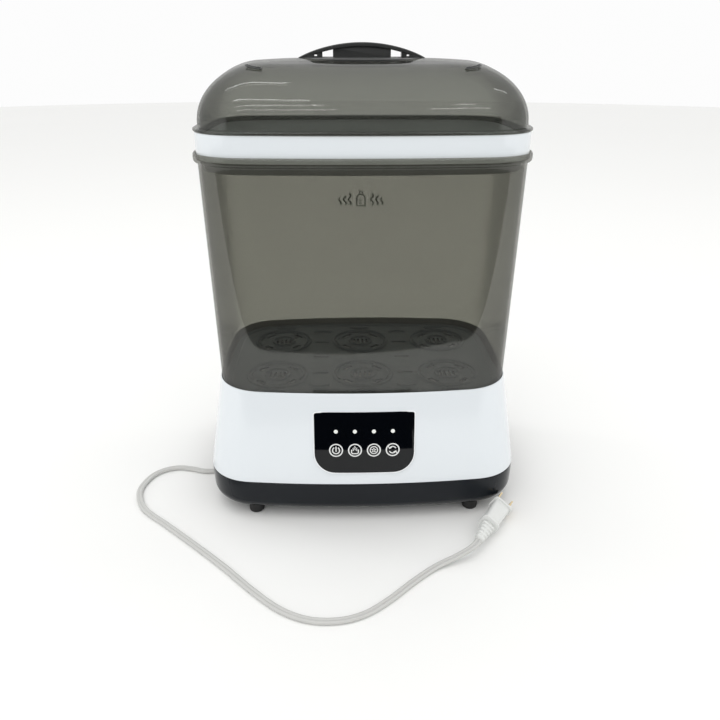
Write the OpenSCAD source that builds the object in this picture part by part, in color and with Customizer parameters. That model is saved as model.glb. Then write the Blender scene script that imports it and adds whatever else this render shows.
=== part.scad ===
// Countertop steam sterilizer and dryer for baby bottles.
// The origin is the middle of the footprint on the table, +Z up, the control panel faces -Y.

/* [Base] */
// Width of the base at the seam between its white and black shells
base_w = 300; // [296:1:304]
// Depth of the base at the same seam
base_d = 213; // [211:1:216]
// Height of that seam above the table
seam_z = 41; // [40:0.5:42]
// Height of the rim that the clear chamber stands in
rim_z = 130.5; // [130:0.5:131]
// Clearance under the black pan, which is the height of the feet
foot_h = 9.5; // [9:0.5:10]

/* [Chamber] */
// Outside width of the clear chamber at its foot
chamber_w = 269.2; // [268.8:0.1:269.4]
// Outside depth of the clear chamber at its foot
chamber_d = 188.4; // [188:0.1:188.6]
// Height of the top edge of the chamber's flared lip
lip_z = 333.9; // [333.4:0.1:334.2]

/* [Lid] */
// Height of the joint between the white ring and the lid
ring_top_z = 350; // [349.5:0.5:350.5]
// Height of the top of the lid's dome
lid_top_z = 405; // [404:0.5:406]
// Length of the eye-shaped handle
handle_l = 108; // [106:1:110]

/* [Trays] */
// Height of the bottle tray's upper face
tray_z = 124.9; // [124.4:0.1:125.2]
// Distance between the middles of the bottle places
bottle_pitch = 82; // [80:1:83]

/* [Control panel] */
// Width of the black panel
panel_w = 91; // [90:1:92]
// Height of its lower edge above the table
panel_low = 54; // [53.5:0.5:55]
// Height of its upper edge above the table
panel_high = 113; // [112:0.5:113.5]
// Distance between the four touch keys
key_pitch = 17.3; // [17:0.1:17.6]

/* [Hidden] */
wall = 2.6;
gap = 0.3;
smooth = 48;
corner_r = 44;
side_lean = 0.155;
front_lean = 0.118;
front_bow = 5.8;
side_bow = 1;
pan_round = 12;
deck_z = 112;
ledge_z = 121;
clear_wall = 2.2;
chamber_foot_z = ledge_z + gap;
lip_low_z = 326.3;
ring_low_z = lip_low_z + 2.6;
ring_hx = 136.3;
ring_hy = 97.2;
dome_hx = 133.6;
dome_hy = 94.6;
dome_low_z = 356;
dome_run = 48.5;
dome_rise = 46;
plate_r = 82;
foot_x = 104.5;
foot_y = 85.5;
screw_x = 128;
screw_y = 52;
pillar_z = 36;
key_z = 76.6;
board_y = -88;
led_z = 96.2;
key_x = [for (i = [-1.5:1:1.5]) i * key_pitch];
fan_x = 78;
fan_y = 18;
fan_z = 34;
duct_x = fan_x + 26;
duct_y = fan_y + 50;
filter_x = 52;
filter_z = 72;
filter_w = 70;
filter_h = 36;
filter_y = 82;
cord_x = -70;
cord_exit_z = 30;
cord_wall_y = base_d / 2 - 0.6 - front_bow * pow(cord_x / (base_w / 2 - side_bow - corner_r), 2);
cord_exit_y = cord_wall_y + 30;
cord_w = 6.4;
cord_t = 3.4;
plug_p = [114, -131.5, 12.6];
plug_turn = 58;
plug_roll = 29.4;
plug_rear = 25.5;
plug_front = 30.7;
plug_dir = [cos(plug_turn), sin(plug_turn), 0];
handle_screw_x = 14;
blower_lug_r = 40;
blower_lugs = [45, 165, 285];
fan_bore_r = 1.55;
fan_shaft_r = 1.5;

// ---- outlines and lofted shells ----

// A quarter of a crowned rectangle with round corners, from the middle of its front to the
// middle of its side. bow_f and bow_s are how far the front and the side bulge.
function quarter(hx, hy, r, bow_f, bow_s, nf = 4, nc = 6, ns = 2) =
    let (cx = hx - bow_s - r, cy = hy - bow_f - r)
    concat(
        [for (i = [0:nf - 1]) let (x = cx * i / nf) [x, -hy + bow_f * pow(x / cx, 2)]],
        [for (i = [0:nc]) let (a = 90 * i / nc - 90) [cx + r * cos(a), -cy + r * sin(a)]],
        [for (i = [ns - 1:-1:0]) let (y = cy * i / ns) [hx - bow_s * pow(y / cy, 2), -y]]);

// The whole outline, counter-clockwise from the middle of the front.
function outline(hx, hy, r, bow_f = front_bow, bow_s = side_bow) =
    let (q = quarter(hx, hy, r, bow_f, bow_s), n = len(q))
    concat(q,
        [for (i = [n - 2:-1:0]) [q[i].x, -q[i].y]],
        [for (i = [1:n - 1]) [-q[i].x, -q[i].y]],
        [for (i = [n - 2:-1:1]) [-q[i].x, q[i].y]]);

// A ring of a loft is [z, half width, half depth, corner radius, front bow].
function ring_points(rings) = [for (g = rings) for (p = outline(g[1], g[2], g[3], g[4])) [p.x, p.y, g[0]]];

function band(a, b, n) = [for (j = [0:n - 1]) let (k = (j + 1) % n)
    each [[a + j, b + j, b + k], [a + j, b + k, a + k]]];

// A solid through the rings in order, with a flat cap on the first and on the last.
module loft(rings) {
    n = len(outline(100, 80, 20));
    m = len(rings);
    polyhedron(ring_points(rings), concat(
        [[for (j = [0:n - 1]) j]],
        [for (i = [0:m - 2]) each band(i * n, (i + 1) * n, n)],
        [[for (j = [n - 1:-1:0]) (m - 1) * n + j]]), convexity = 6);
}

// The same with the last ring joined to the first, for a band that is open at both ends.
module loft_band(rings) {
    n = len(outline(100, 80, 20));
    m = len(rings);
    polyhedron(ring_points(rings),
        [for (i = [0:m - 1]) each band(i * n, ((i + 1) % m) * n, n)], convexity = 6);
}

// Outer face of the white base shell at height z, moved out by off.
function base_hx(z) = base_w / 2 - side_lean * (z - seam_z);
function base_hy(z) = base_d / 2 - front_lean * (z - seam_z);
function base_ring(z, off = 0) = [z, base_hx(z) + off, base_hy(z) + off, corner_r + off, front_bow];
// Where the middle of its front lies at a place x across.
function front_y(x, z) = -base_hy(z) + front_bow * pow(x / (base_hx(z) - side_bow - corner_r), 2);

// Outer face of the chamber at height z.
function chamber_ring(z, off = 0) =
    let (t = (z - chamber_foot_z) / (lip_low_z - chamber_foot_z))
    [z, chamber_w / 2 + t + off, chamber_d / 2 + 2.4 * t + off, corner_r - 1 + off, 4.6];

// Outer face of the lid's dome at an angle up its round edge.
function dome_ring(a, off = 0) =
    let (inset = dome_run * (1 - cos(a)))
    [dome_low_z + (dome_rise + off) * sin(a), dome_hx - inset + off * cos(a),
        dome_hy - inset + off * cos(a), corner_r - 1 - 0.55 * inset + off * cos(a), 4.6 * (1 - inset / 60)];
// The gently crowned top of the lid, at a distance in from the top of that edge.
function crown_ring(inset, off = 0) =
    [dome_low_z + dome_rise + off + (lid_top_z - dome_low_z - dome_rise) * inset / 38,
        dome_hx - dome_run - inset, dome_hy - dome_run - inset,
        corner_r - 1 - 0.55 * dome_run - 0.3 * inset, 0.9 - 0.02 * inset];
function dome_rings(off = 0, step = 10) = concat(
    [for (a = [0:step:90]) dome_ring(a, off)],
    [for (inset = [10, 20, 30, 38]) crown_ring(inset, off)]);
function reversed(list) = [for (i = [len(list) - 1:-1:0]) list[i]];

module four(x, y) {
    for (sx = [-1, 1]) for (sy = [-1, 1]) translate([sx * x, sy * y]) children();
}

// ---- base ----

// Outline of the control panel in the front view, grown by g. Its lower corners are rounder.
module panel_outline(g = 0) {
    hw = panel_w / 2;
    low_r = 19;
    top_r = 2.5;
    function arc(cx, cz, r, a0, n) = [for (i = [0:n]) let (a = a0 + 90 * i / n)
        [cx + (r + g) * cos(a), cz + (r + g) * sin(a)]];
    polygon(concat(
        arc(hw - low_r, panel_low + low_r, low_r, -90, 8),
        arc(hw - top_r, panel_high - top_r, top_r, 0, 4),
        arc(-hw + top_r, panel_high - top_r, top_r, 90, 4),
        arc(-hw + low_r, panel_low + low_r, low_r, 180, 8)));
}

// Everything behind that outline, from well in front of the base to well inside it.
module panel_prism(g = 0) {
    translate([0, -85, 0]) rotate([90, 0, 0]) linear_extrude(40) panel_outline(g);
}

// A skin that follows the front of the base, between two distances from its face.
module front_skin(inner, outer) {
    difference() {
        loft([for (z = [48, 72, 96, 120]) base_ring(z, outer)]);
        loft([for (z = [46, 72, 96, 122]) base_ring(z, inner)]);
        translate([-200, -60, 0]) cube(400);
    }
}

// Rounded rectangle of the filter drawer in the rear view.
module filter_outline(g = 0) {
    hw = filter_w / 2 + g;
    hh = filter_h / 2 + g;
    r = 5;
    union() {
        square([2 * hw - 2 * r, 2 * hh], center = true);
        square([2 * hw, 2 * hh - 2 * r], center = true);
        for (sx = [-1, 1]) for (sz = [-1, 1])
            translate([sx * (hw - r), sz * (hh - r)]) circle(r, $fn = 32);
    }
}

module at_rear(y, depth) {
    translate([filter_x, y + depth, filter_z]) rotate([90, 0, 0]) linear_extrude(depth) children();
}

// White housing: outer wall, rim for the chamber, ledge, and the deck over the works.
module base_shell() {
    heights = [seam_z, 62, 84, 106, 126.5];
    under = deck_z - 3;
    color([0.92, 0.94, 0.95]) {
        difference() {
            loft(concat(
                [base_ring(under, -wall)],
                [for (z = [90, 65, seam_z]) base_ring(z, -wall)],
                [for (z = heights) base_ring(z)],
                [concat([129.3], [for (k = [1:4]) base_ring(129.3, -0.7)[k]]),
                    concat([rim_z], [for (k = [1:4]) chamber_ring(rim_z, 1.2)[k]]),
                    chamber_ring(rim_z - 0.8, 0.6), chamber_ring(ledge_z, 0.6),
                    chamber_ring(ledge_z, -6), chamber_ring(deck_z, -6)]));
            translate([0, 0, deck_z - 10]) cylinder(h = 20, r = plate_r - 5, $fn = smooth);
            panel_prism(0.15);
            at_rear(80, 40) filter_outline(0.5);
            translate([duct_x, duct_y, deck_z]) cube([18, 10, 30], center = true);
        }
        four(screw_x, screw_y) difference() {
            translate([0, 0, pillar_z + 0.4]) cylinder(h = under + 0.5 - pillar_z, r = 4.2, $fn = 24);
            translate([0, 0, pillar_z]) cylinder(h = 16, r = 1.5, $fn = 24);
        }
    }
}

// Offset of the pan's round lower edge: how far in it is at an angle up the round.
function pan_ring(a, off = 0) =
    let (r = pan_round + off, hx = base_w / 2 - 0.6, hy = base_d / 2 - 0.6)
    [foot_h + pan_round - r * cos(a), hx - pan_round + r * sin(a), hy - pan_round + r * sin(a),
        corner_r - pan_round + r * sin(a), front_bow];

// Black lower housing: a pan with a round lower edge and a tongue inside the white shell.
module base_pan() {
    top = [seam_z - gap, base_w / 2 - 0.2, base_d / 2 - 0.2, corner_r, front_bow];
    function inset(z, d) = [z, top[1] - d, top[2] - d, top[3] - d, top[4]];
    color([0.07, 0.08, 0.09]) difference() {
        union() {
            loft(concat(
                [for (a = [0:15:90]) pan_ring(a)],
                [top, inset(seam_z - gap, 3.9), inset(seam_z + 4, 3.9), inset(seam_z + 4, 5.4)],
                [inset(seam_z - gap - 2, 5.4)],
                [for (a = [90:-22.5:0]) pan_ring(a, -wall)]));
            four(screw_x, screw_y) translate([0, 0, foot_h + 1])
                cylinder(h = pillar_z - foot_h - 1, r = 5.2, $fn = 24);
        }
        four(screw_x, screw_y) {
            translate([0, 0, foot_h - 1]) cylinder(h = 40, r = 1.9, $fn = 24);
            translate([0, 0, foot_h - 1]) cylinder(h = 18, r = 3.6, $fn = 24);
        }
        four(foot_x, foot_y) translate([0, 0, foot_h - 1]) cylinder(h = 10, r = 3.1, $fn = 24);
        for (i = [-4:4]) translate([fan_x - 18 + 7 * i, -18, foot_h - 1]) cube([3, 44, 10]);
        translate([cord_x, cord_wall_y - 12, cord_exit_z]) rotate([-90, 0, 0])
            cylinder(h = 24, r = 6.2, $fn = 32);
    }
}

module feet() {
    color([0.05, 0.05, 0.05]) four(foot_x, foot_y) {
        rotate_extrude($fn = smooth)
            polygon([[0, 0], [6.2, 0], [7, 0.8], [7.25, 2], [7.25, foot_h], [0, foot_h]]);
        translate([0, 0, foot_h]) cylinder(h = wall + 0.2, r = 3, $fn = 24);
        translate([0, 0, foot_h + wall + 0.2]) cylinder(h = 2, r1 = 3.9, r2 = 2.4, $fn = 24);
    }
}

module base_screws() {
    head_z = foot_h + 17;
    color([0.75, 0.76, 0.78]) four(screw_x, screw_y) {
        translate([0, 0, head_z - 2.4]) difference() {
            cylinder(h = 2.4, r = 3.2, $fn = 24);
            translate([-0.5, -2, -1]) cube([1, 4, 2]);
            translate([-2, -0.5, -1]) cube([4, 1, 2]);
        }
        translate([0, 0, head_z]) cylinder(h = 24, r = 1.45, $fn = 24);
    }
}

// Glossy touch panel, bent to the front of the base.
module control_panel() {
    color([0.02, 0.02, 0.03]) difference() {
        intersection() {
            panel_prism(0);
            front_skin(-2, 0.3);
        }
        for (x = key_x) translate([x, -85, led_z]) rotate([90, 0, 0]) cylinder(h = 40, r = 2.1, $fn = 24);
    }
}

// Thin bright bead that frames the panel.
module panel_trim() {
    color([0.85, 0.86, 0.87]) intersection() {
        difference() {
            panel_prism(1.1);
            panel_prism(0.05);
        }
        front_skin(0.08, 0.6);
    }
}

module led_lenses() {
    color([0.95, 0.95, 0.92]) for (x = key_x) translate([x, front_y(x, led_z) + 3.2, led_z])
        rotate([90, 0, 0]) {
            cylinder(h = 3.6, r = 1.9, $fn = 24);
            cylinder(h = 0.7, r = 2.6, $fn = 24);
        }
}

// Circuit board behind the panel, with one lamp under each lens.
module control_board() {
    color([0.1, 0.35, 0.2]) {
        translate([-40, board_y, 60]) cube([80, 1.6, 44]);
        for (x = key_x) translate([x - 1.6, board_y - 1.6, led_z - 1.4]) cube([3.2, 1.6, 2.8]);
        translate([-7, board_y + 1.6, 84]) cube([14, 1.8, 14]);
        translate([-34, board_y + 1.6, 64]) cube([16, 7, 6]);
    }
}

// Spring contacts between the board and the back of each touch key.
module touch_springs() {
    turns = 4;
    color([0.8, 0.8, 0.8]) for (x = key_x) translate([x, board_y, key_z]) rotate([90, 0, 0]) {
        for (i = [0:turns - 1]) translate([0, 0, i * 2]) difference() {
            cylinder(h = 1.2, r = 3.2, $fn = 24);
            translate([0, 0, -1]) cylinder(h = 4, r = 2.2, $fn = 24);
        }
        difference() {
            cylinder(h = turns * 2 - 0.6, r = 2.6, $fn = 24);
            translate([0, 0, -1]) cylinder(h = 20, r = 2.2, $fn = 24);
        }
    }
}

module power_board() {
    floor_z = foot_h + wall + 4;
    color([0.55, 0.42, 0.2]) {
        translate([-122, -48, floor_z]) cube([76, 92, 1.6]);
        for (x = [-118, -50]) for (y = [-44, 40]) translate([x, y, foot_h + wall])
            cylinder(h = 4, r = 2.5, $fn = 24);
        translate([-116, -40, floor_z + 1.6]) cube([30, 26, 24]);
        translate([-78, -38, floor_z + 1.6]) cube([18, 15, 15]);
        for (i = [0:2]) translate([-108 + i * 16, 4, floor_z + 1.6]) cylinder(h = 16, r = 5.5, $fn = 32);
        translate([-64, 6, floor_z + 1.6]) cube([10, 30, 9]);
        translate([-118, 26, floor_z + 1.6]) cube([36, 10, 13]);
    }
}

// Stainless dish that holds the water and boils it.
module heating_plate() {
    color([0.75, 0.76, 0.78]) translate([0, 0, deck_z + 1.6]) rotate_extrude($fn = 72)
        polygon([[0, -13], [58, -13], [66, -11], [71, -6], [73, 0], [plate_r, 0], [plate_r, 0.8],
            [72.4, 0.8], [70.3, -5.6], [65.6, -10.2], [58, -12.2], [0, -12.2]]);
}

module plate_seal() {
    color([0.5, 0.52, 0.54]) translate([0, 0, deck_z]) difference() {
        cylinder(h = 1.6, r = plate_r + 1, $fn = smooth);
        translate([0, 0, -1]) cylinder(h = 4, r = plate_r - 5, $fn = smooth);
    }
}

// Tubular heater clamped under the dish, with its two cold ends turned down.
module heating_element() {
    ring_z = deck_z - 15.6;
    color([0.45, 0.43, 0.4]) {
        translate([0, 0, ring_z]) rotate([0, 0, 15]) rotate_extrude(angle = 330, $fn = 72)
            translate([48, 0]) circle(4, $fn = 24);
        for (s = [-1, 1]) rotate([0, 0, s * 15]) translate([48, 0, ring_z - 14]) {
            cylinder(h = 18, r = 4.8, $fn = 24);
            translate([0, 0, -6]) cylinder(h = 8, r = 1.6, $fn = 24);
        }
    }
}

module thermostat() {
    top = deck_z - 11.6;
    color([0.85, 0.83, 0.78]) {
        translate([0, 0, top - 5]) cylinder(h = 5, r = 12, $fn = smooth);
        translate([0, 0, top - 13]) cylinder(h = 8, r = 8, $fn = smooth);
        for (s = [-1, 1]) translate([s * 4 - 0.4, -3, top - 21]) cube([0.8, 6, 8]);
    }
}

module thermal_fuse() {
    color([0.9, 0.88, 0.8]) translate([-12, -30, deck_z - 14.2]) rotate([0, 90, 0]) {
        cylinder(h = 24, r = 2.4, $fn = 24);
        translate([0, 0, -8]) cylinder(h = 40, r = 0.6, $fn = 24);
    }
}

// ---- drying air: filter, blower, heater and outlet ----

// The same cylinder at each of the blower's three screw lugs.
module blower_lug(h, r) {
    for (a = blower_lugs) rotate([0, 0, a]) translate([blower_lug_r, 0, 0]) cylinder(h = h, r = r, $fn = 24);
}

// Round blower case, open on top, with its outlet at the rear.
module blower_housing() {
    color([0.15, 0.15, 0.16]) translate([fan_x, fan_y, 0]) difference() {
        union() {
            translate([0, 0, fan_z - 15]) cylinder(h = 26, r = 38, $fn = smooth);
            translate([14, 0, fan_z - 15]) cube([24, 44, 26]);
            translate([0, 0, foot_h + wall]) blower_lug(fan_z + 11 - foot_h - wall, 3.6);
        }
        translate([0, 0, fan_z - 13]) cylinder(h = 40, r = 36, $fn = smooth);
        translate([16, 0, fan_z - 13]) cube([20, 50, 22]);
        translate([0, 0, fan_z - 20]) cylinder(h = 20, r = 20, $fn = smooth);
        translate([0, 0, fan_z + 1]) blower_lug(20, 1.3);
    }
}

// Lid of the blower case: it carries the motor over its middle.
module blower_cover() {
    color([0.2, 0.2, 0.21]) translate([fan_x, fan_y, fan_z + 11]) difference() {
        union() {
            cylinder(h = 2, r = 38, $fn = smooth);
            translate([14, 0, 0]) cube([24, 44, 2]);
            blower_lug(2, 3.6);
        }
        translate([0, 0, -1]) cylinder(h = 4, r = 6, $fn = 32);
        translate([0, 0, -1]) blower_lug(4, 1.7);
    }
}

module blower_screws() {
    color([0.75, 0.76, 0.78]) translate([fan_x, fan_y, fan_z + 13]) {
        blower_lug(1.8, 2.8);
        translate([0, 0, -10]) blower_lug(10.1, 1.25);
    }
}

// The motor's can stands on the blower cover; its lower bearing guides the shaft.
module fan_motor() {
    color([0.7, 0.7, 0.72]) translate([fan_x, fan_y, 0]) difference() {
        union() {
            translate([0, 0, fan_z + 13]) cylinder(h = 20, r = 14, $fn = smooth);
            translate([0, 0, fan_z + 8.4]) cylinder(h = 5, r = 4.5, $fn = 32);
            translate([-6, -17, fan_z + 16]) cube([12, 6, 10]);
        }
        translate([0, 0, fan_z]) cylinder(h = 30, r = fan_bore_r, $fn = 32);
    }
}

// Squirrel-cage wheel on its own steel shaft.
module fan_wheel() {
    blades = 20;
    color([0.88, 0.88, 0.86]) translate([fan_x, fan_y, 0]) {
        translate([0, 0, fan_z + 4]) cylinder(h = 1.6, r = 33, $fn = smooth);
        translate([0, 0, fan_z - 2]) cylinder(h = 6.5, r = 4, $fn = 32);
        for (i = [0:blades - 1]) rotate([0, 0, i * 360 / blades]) translate([26, -0.5, fan_z - 11])
            rotate([0, 0, 25]) cube([6.4, 1, 15.2]);
        translate([0, 0, fan_z - 11.4]) difference() {
            cylinder(h = 1.4, r = 33, $fn = smooth);
            translate([0, 0, -1]) cylinder(h = 4, r = 25.6, $fn = smooth);
        }
        translate([0, 0, fan_z - 3]) cylinder(h = 31, r = fan_shaft_r, $fn = 32);
    }
}

// Finned ceramic heater in the mouth of the blower.
module air_heater() {
    color([0.8, 0.78, 0.72]) translate([duct_x - 9.8, fan_y + 46.2, fan_z - 12.8]) difference() {
        cube([19.6, 10, 21.6]);
        for (i = [0:4]) translate([1.6 + i * 3.5, -1, 2]) cube([2.4, 14, 17.6]);
    }
}

// Duct that turns the warm air up from the heater to the deck.
module air_duct() {
    low = fan_z - 15;
    color([0.82, 0.82, 0.8]) difference() {
        translate([duct_x - 12, fan_y + 44.2, low]) cube([24, 14, deck_z - 3 - low]);
        translate([duct_x - 10, fan_y + 46, low + 2]) cube([20, 10.6, 120]);
        translate([duct_x - 10, fan_y + 40, low + 2]) cube([20, 8, 22]);
    }
}

module outlet_grille() {
    color([0.3, 0.32, 0.34]) translate([duct_x, duct_y, deck_z]) difference() {
        union() {
            translate([-10, -6.4, 0]) cube([20, 12.8, 1.6]);
            translate([-8.8, -4.8, -3]) cube([17.6, 9.6, 3]);
        }
        for (i = [-2:2]) translate([i * 3.2 - 0.9, -4, -5]) cube([1.8, 8, 10]);
    }
}

// Filter drawer in the rear wall: a louvred cover with the filter block clipped behind it.
module filter_cover() {
    color([0.9, 0.92, 0.93]) difference() {
        union() {
            intersection() {
                at_rear(80, 40) filter_outline(0);
                mirror([0, 1, 0]) front_skin(-2.4, 0.2);
            }
            intersection() {
                at_rear(filter_y - 1, 26) difference() {
                    filter_outline(-2);
                    filter_outline(-3.6);
                }
                loft([for (z = [46, 72, 98]) base_ring(z, -1)]);
            }
        }
        for (i = [-3:3]) translate([filter_x - 24, filter_y - 4, filter_z + i * 4 - 1.1]) cube([48, 20, 2.2]);
    }
}

module air_filter() {
    y = filter_y + 0.6;
    color([0.95, 0.95, 0.92]) translate([filter_x, y - 14.2, filter_z]) union() {
        cube([filter_w - 11, 0.8, filter_h - 11], center = true);
        for (i = [-7:7]) translate([i * 4, 3.6, 0]) cube([1.6, 7, filter_h - 12], center = true);
        translate([0, 7.2, 0]) cube([filter_w - 11, 0.8, filter_h - 11], center = true);
    }
}

// ---- mains lead ----

// The lead's route: from the rear, down to the table, under the left flank, and round in
// front to the plug. Each point is a middle of the flat lead.
cord_route = [[cord_x, cord_exit_y + 0.1, cord_exit_z], [cord_x, cord_exit_y + 6, cord_exit_z],
    [-71, 151, 27.5], [-74, 163, 21], [-79, 174, 13], [-86.5, 183.4, 6.8], [-97, 189.8, 3], [-110, 191, 1.8],
    [-122, 187, 1.8], [-131, 177, 1.8], [-136, 162, 1.8], [-137, 142, 1.8], [-133, 112, 1.8], [-128, 78, 1.8],
    [-125.5, 46, 1.8], [-127, 20, 1.8], [-132, 2, 1.8], [-141, -12, 1.8], [-153.5, -20.5, 1.8],
    [-167.5, -21.5, 1.8], [-182, -16.8, 1.8], [-197, -14.4, 1.8], [-212, -20, 1.8], [-222.5, -34, 1.8],
    [-226, -58, 1.8], [-214, -86, 1.8], [-186, -112, 1.8], [-148, -147, 1.8], [-122, -172, 1.8],
    [-95, -200, 1.8], [-71, -221, 1.8], [-48, -232, 1.8], [-24, -233.5, 1.8], [-3, -227, 1.8],
    [17, -212.5, 1.8], [40, -191, 1.8], [60, -175, 2.4], [79, -167, 6.2],
    plug_p - (plug_rear + 7) * plug_dir - [3, 2, 1.2], plug_p - (plug_rear + 0.1) * plug_dir];

// A point of the smooth curve through the route, a part t of the way from point i to the next.
function spline(p, i, t) =
    let (n = len(p), a = p[max(i - 1, 0)], b = p[i], c = p[i + 1], d = p[min(i + 2, n - 1)])
    0.5 * (2 * b + (c - a) * t + (2 * a - 5 * b + 4 * c - d) * t * t + (3 * b - a - 3 * c + d) * t * t * t);
function unit(v) = v / norm(v);

module power_cord() {
    steps = 2;
    sides = 8;
    path = concat([for (i = [0:len(cord_route) - 2]) for (k = [0:steps - 1]) spline(cord_route, i, k / steps)],
        [cord_route[len(cord_route) - 1]]);
    n = len(path);
    pts = [for (i = [0:n - 1]) let (
        along = unit(path[min(i + 1, n - 1)] - path[max(i - 1, 0)]),
        side = unit(cross(along, [0, 0, 1])), up = cross(side, along))
        for (j = [0:sides - 1]) let (a = 360 * (j + 0.5) / sides)
            path[i] + side * cord_w / 2 * cos(a) + up * cord_t / 2 * sin(a)];
    color([0.9, 0.9, 0.88]) polyhedron(pts, concat(
        [[for (j = [sides - 1:-1:0]) j]],
        [for (i = [0:n - 2]) for (j = [0:sides - 1]) let (k = (j + 1) % sides, a = i * sides, b = a + sides)
            each [[a + j, b + k, b + j], [a + j, a + k, b + k]]],
        [[for (j = [0:sides - 1]) (n - 1) * sides + j]]), convexity = 10);
}

// Bushing in the rear wall with its tapered, ribbed tail, and the lead's round inner end.
module cord_relief() {
    color([0.88, 0.88, 0.86]) translate([cord_x, cord_wall_y, cord_exit_z]) rotate([-90, 0, 0]) {
        translate([0, 0, -37]) cylinder(h = 30, r = 2.5, $fn = 24);
        translate([0, 0, -8.4]) cylinder(h = 2.6, r = 7.6, $fn = 32);
        translate([0, 0, -6]) cylinder(h = 7, r = 6.1, $fn = 32);
        translate([0, 0, 0.8]) cylinder(h = 2.4, r = 7.6, $fn = 32);
        translate([0, 0, 3]) cylinder(h = cord_exit_y - cord_wall_y - 3, r1 = 5.2, r2 = 3.7, $fn = 32);
        for (i = [0:3]) translate([0, 0, 6 + i * 5]) cylinder(h = 2, r = 5.6 - i * 0.35, $fn = 32);
    }
}

module cord_clamp() {
    color([0.2, 0.2, 0.2]) translate([cord_x, base_d / 2 - 28, foot_h + wall]) difference() {
        union() {
            translate([-12, -5, 0]) cube([24, 10, 10]);
            translate([-7, -5, 0]) cube([14, 10, cord_exit_z - foot_h - wall + 5]);
        }
        translate([0, 10, cord_exit_z - foot_h - wall]) rotate([90, 0, 0]) cylinder(h = 20, r = 2.6, $fn = 24);
    }
}

module at_plug() {
    translate(plug_p) rotate([0, 0, plug_turn]) rotate([plug_roll, 0, 0]) children();
}

// A slab across the plug: width across, height, and length along it.
module plug_slab(x0, x1, w0, w1, h) {
    linear_extrude(h, center = true) polygon([[x0, -w0 / 2], [x1, -w1 / 2], [x1, w1 / 2], [x0, w0 / 2]]);
}

module plug_body() {
    color([0.9, 0.9, 0.88]) at_plug() {
        plug_slab(plug_front - 2.4, plug_front, 20, 20, 17);
        plug_slab(1.2, plug_front - 2.4, 15, 17, 14.2);
        plug_slab(-1.2, 1.2, 17.5, 17.5, 15.8);
        plug_slab(-plug_rear, -1.2, 8, 12.6, 7);
        for (i = [0:4]) plug_slab(-23.6 + i * 4.5, -21 + i * 4.5, 9 + i * 1, 9.6 + i * 1, 8.6);
    }
}

module plug_blades() {
    color([0.8, 0.72, 0.5]) at_plug()
        for (s = [-1, 1]) translate([plug_front, s * 6.35 - 0.75, -3.2]) cube([14.5, 1.5, 6.4]);
}

// ---- trays, chamber and lid ----

// Charcoal tray: raised rings locate six bottle necks, and slots let the steam up.
module bottle_tray() {
    places = [for (i = [-1:1]) for (j = [-0.5, 0.5]) [i * bottle_pitch, j * bottle_pitch]];
    bed = 2.6;
    rim = chamber_ring(ledge_z, -clear_wall - 0.6);
    function lip(z, d) = [z, rim[1] - d, rim[2] - d, rim[3] - d, rim[4]];
    color([0.2, 0.22, 0.24]) {
        difference() {
            loft([lip(tray_z - bed, 5), lip(ledge_z, 5), lip(ledge_z, 0.3), lip(tray_z - 1, 0.3),
                lip(tray_z, 1.4)]);
            for (p = places) translate([p.x, p.y, tray_z - 5]) {
                for (a = [45:90:315]) rotate([0, 0, a]) translate([18, -2, 0]) cube([5, 4, 10]);
                for (s = [-1, 1]) translate([s * 6 - 1.5, -6, 0]) cube([3, 12, 10]);
            }
            for (i = [-0.5, 0.5]) for (j = [-1:1]) translate([i * bottle_pitch, j * 34, tray_z])
                cube([16, 4, 10], center = true);
        }
        for (p = places) translate([p.x, p.y, tray_z]) for (r = [29.4, 24, 13]) difference() {
            cylinder(h = 1.6, r = r, $fn = smooth);
            translate([0, 0, -1]) cylinder(h = 4, r = r - 1.6, $fn = smooth);
        }
    }
}

// Clear smoke-grey shell, open at both ends, with a flared lip that holds the ring.
module chamber() {
    lip = chamber_ring(lip_low_z);
    function out(z, d) = [z, lip[1] + d, lip[2] + d, lip[3] + d, lip[4]];
    color([0.45, 0.44, 0.4, 0.5]) loft_band([
        chamber_ring(chamber_foot_z), chamber_ring(220), chamber_ring(lip_low_z),
        out(lip_low_z + 0.5, 2.4), out(lip_low_z + 2, 3.3), out(lip_z - 2, 3.4), out(lip_z - 0.5, 3),
        out(lip_z, 2.2), out(lip_z - 0.8, 1.4), out(ring_low_z - gap, 1.2), out(ring_low_z - gap, -clear_wall),
        chamber_ring(220, -clear_wall), chamber_ring(chamber_foot_z, -clear_wall)]);
}

// White ring between the chamber and the lid, with a ledge inside for the accessory tray.
module upper_ring() {
    function at(z, d) = [z, ring_hx - d, ring_hy - d, corner_r - 1 - d, 4.6];
    color([0.92, 0.94, 0.95]) loft_band([
        at(ring_low_z, 0.4), at(ring_low_z + 6, 0), at(ring_top_z - 8, 0), at(ring_top_z - 0.6, 0.2),
        at(ring_top_z, 0.8), at(ring_top_z, 2), at(ring_low_z + 2, 2.2), at(ring_low_z + 2, 5.2), at(ring_low_z, 5.2)]);
}

// Shallow charcoal basket that hangs in the ring, with a slotted floor for small parts.
module accessory_tray() {
    hang_z = ring_low_z + 2 + gap;
    floor_z = 319.5;
    function at(z, d) = [z, ring_hx - d, ring_hy - d, corner_r - 1 - d, 4.6];
    color([0.2, 0.22, 0.24]) difference() {
        loft([at(floor_z, 6.6), at(floor_z + 1, 5.9), at(hang_z, 5.6), at(hang_z, 2.9), at(hang_z + 1.8, 2.9),
            at(hang_z + 1.8, 7.6), at(floor_z + 2, 7.9)]);
        for (i = [-7:7]) for (j = [-2:2]) translate([i * 16 - 1.75, j * 32 - 12, floor_z - 1])
            cube([3.5, 24, 6]);
    }
}

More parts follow.
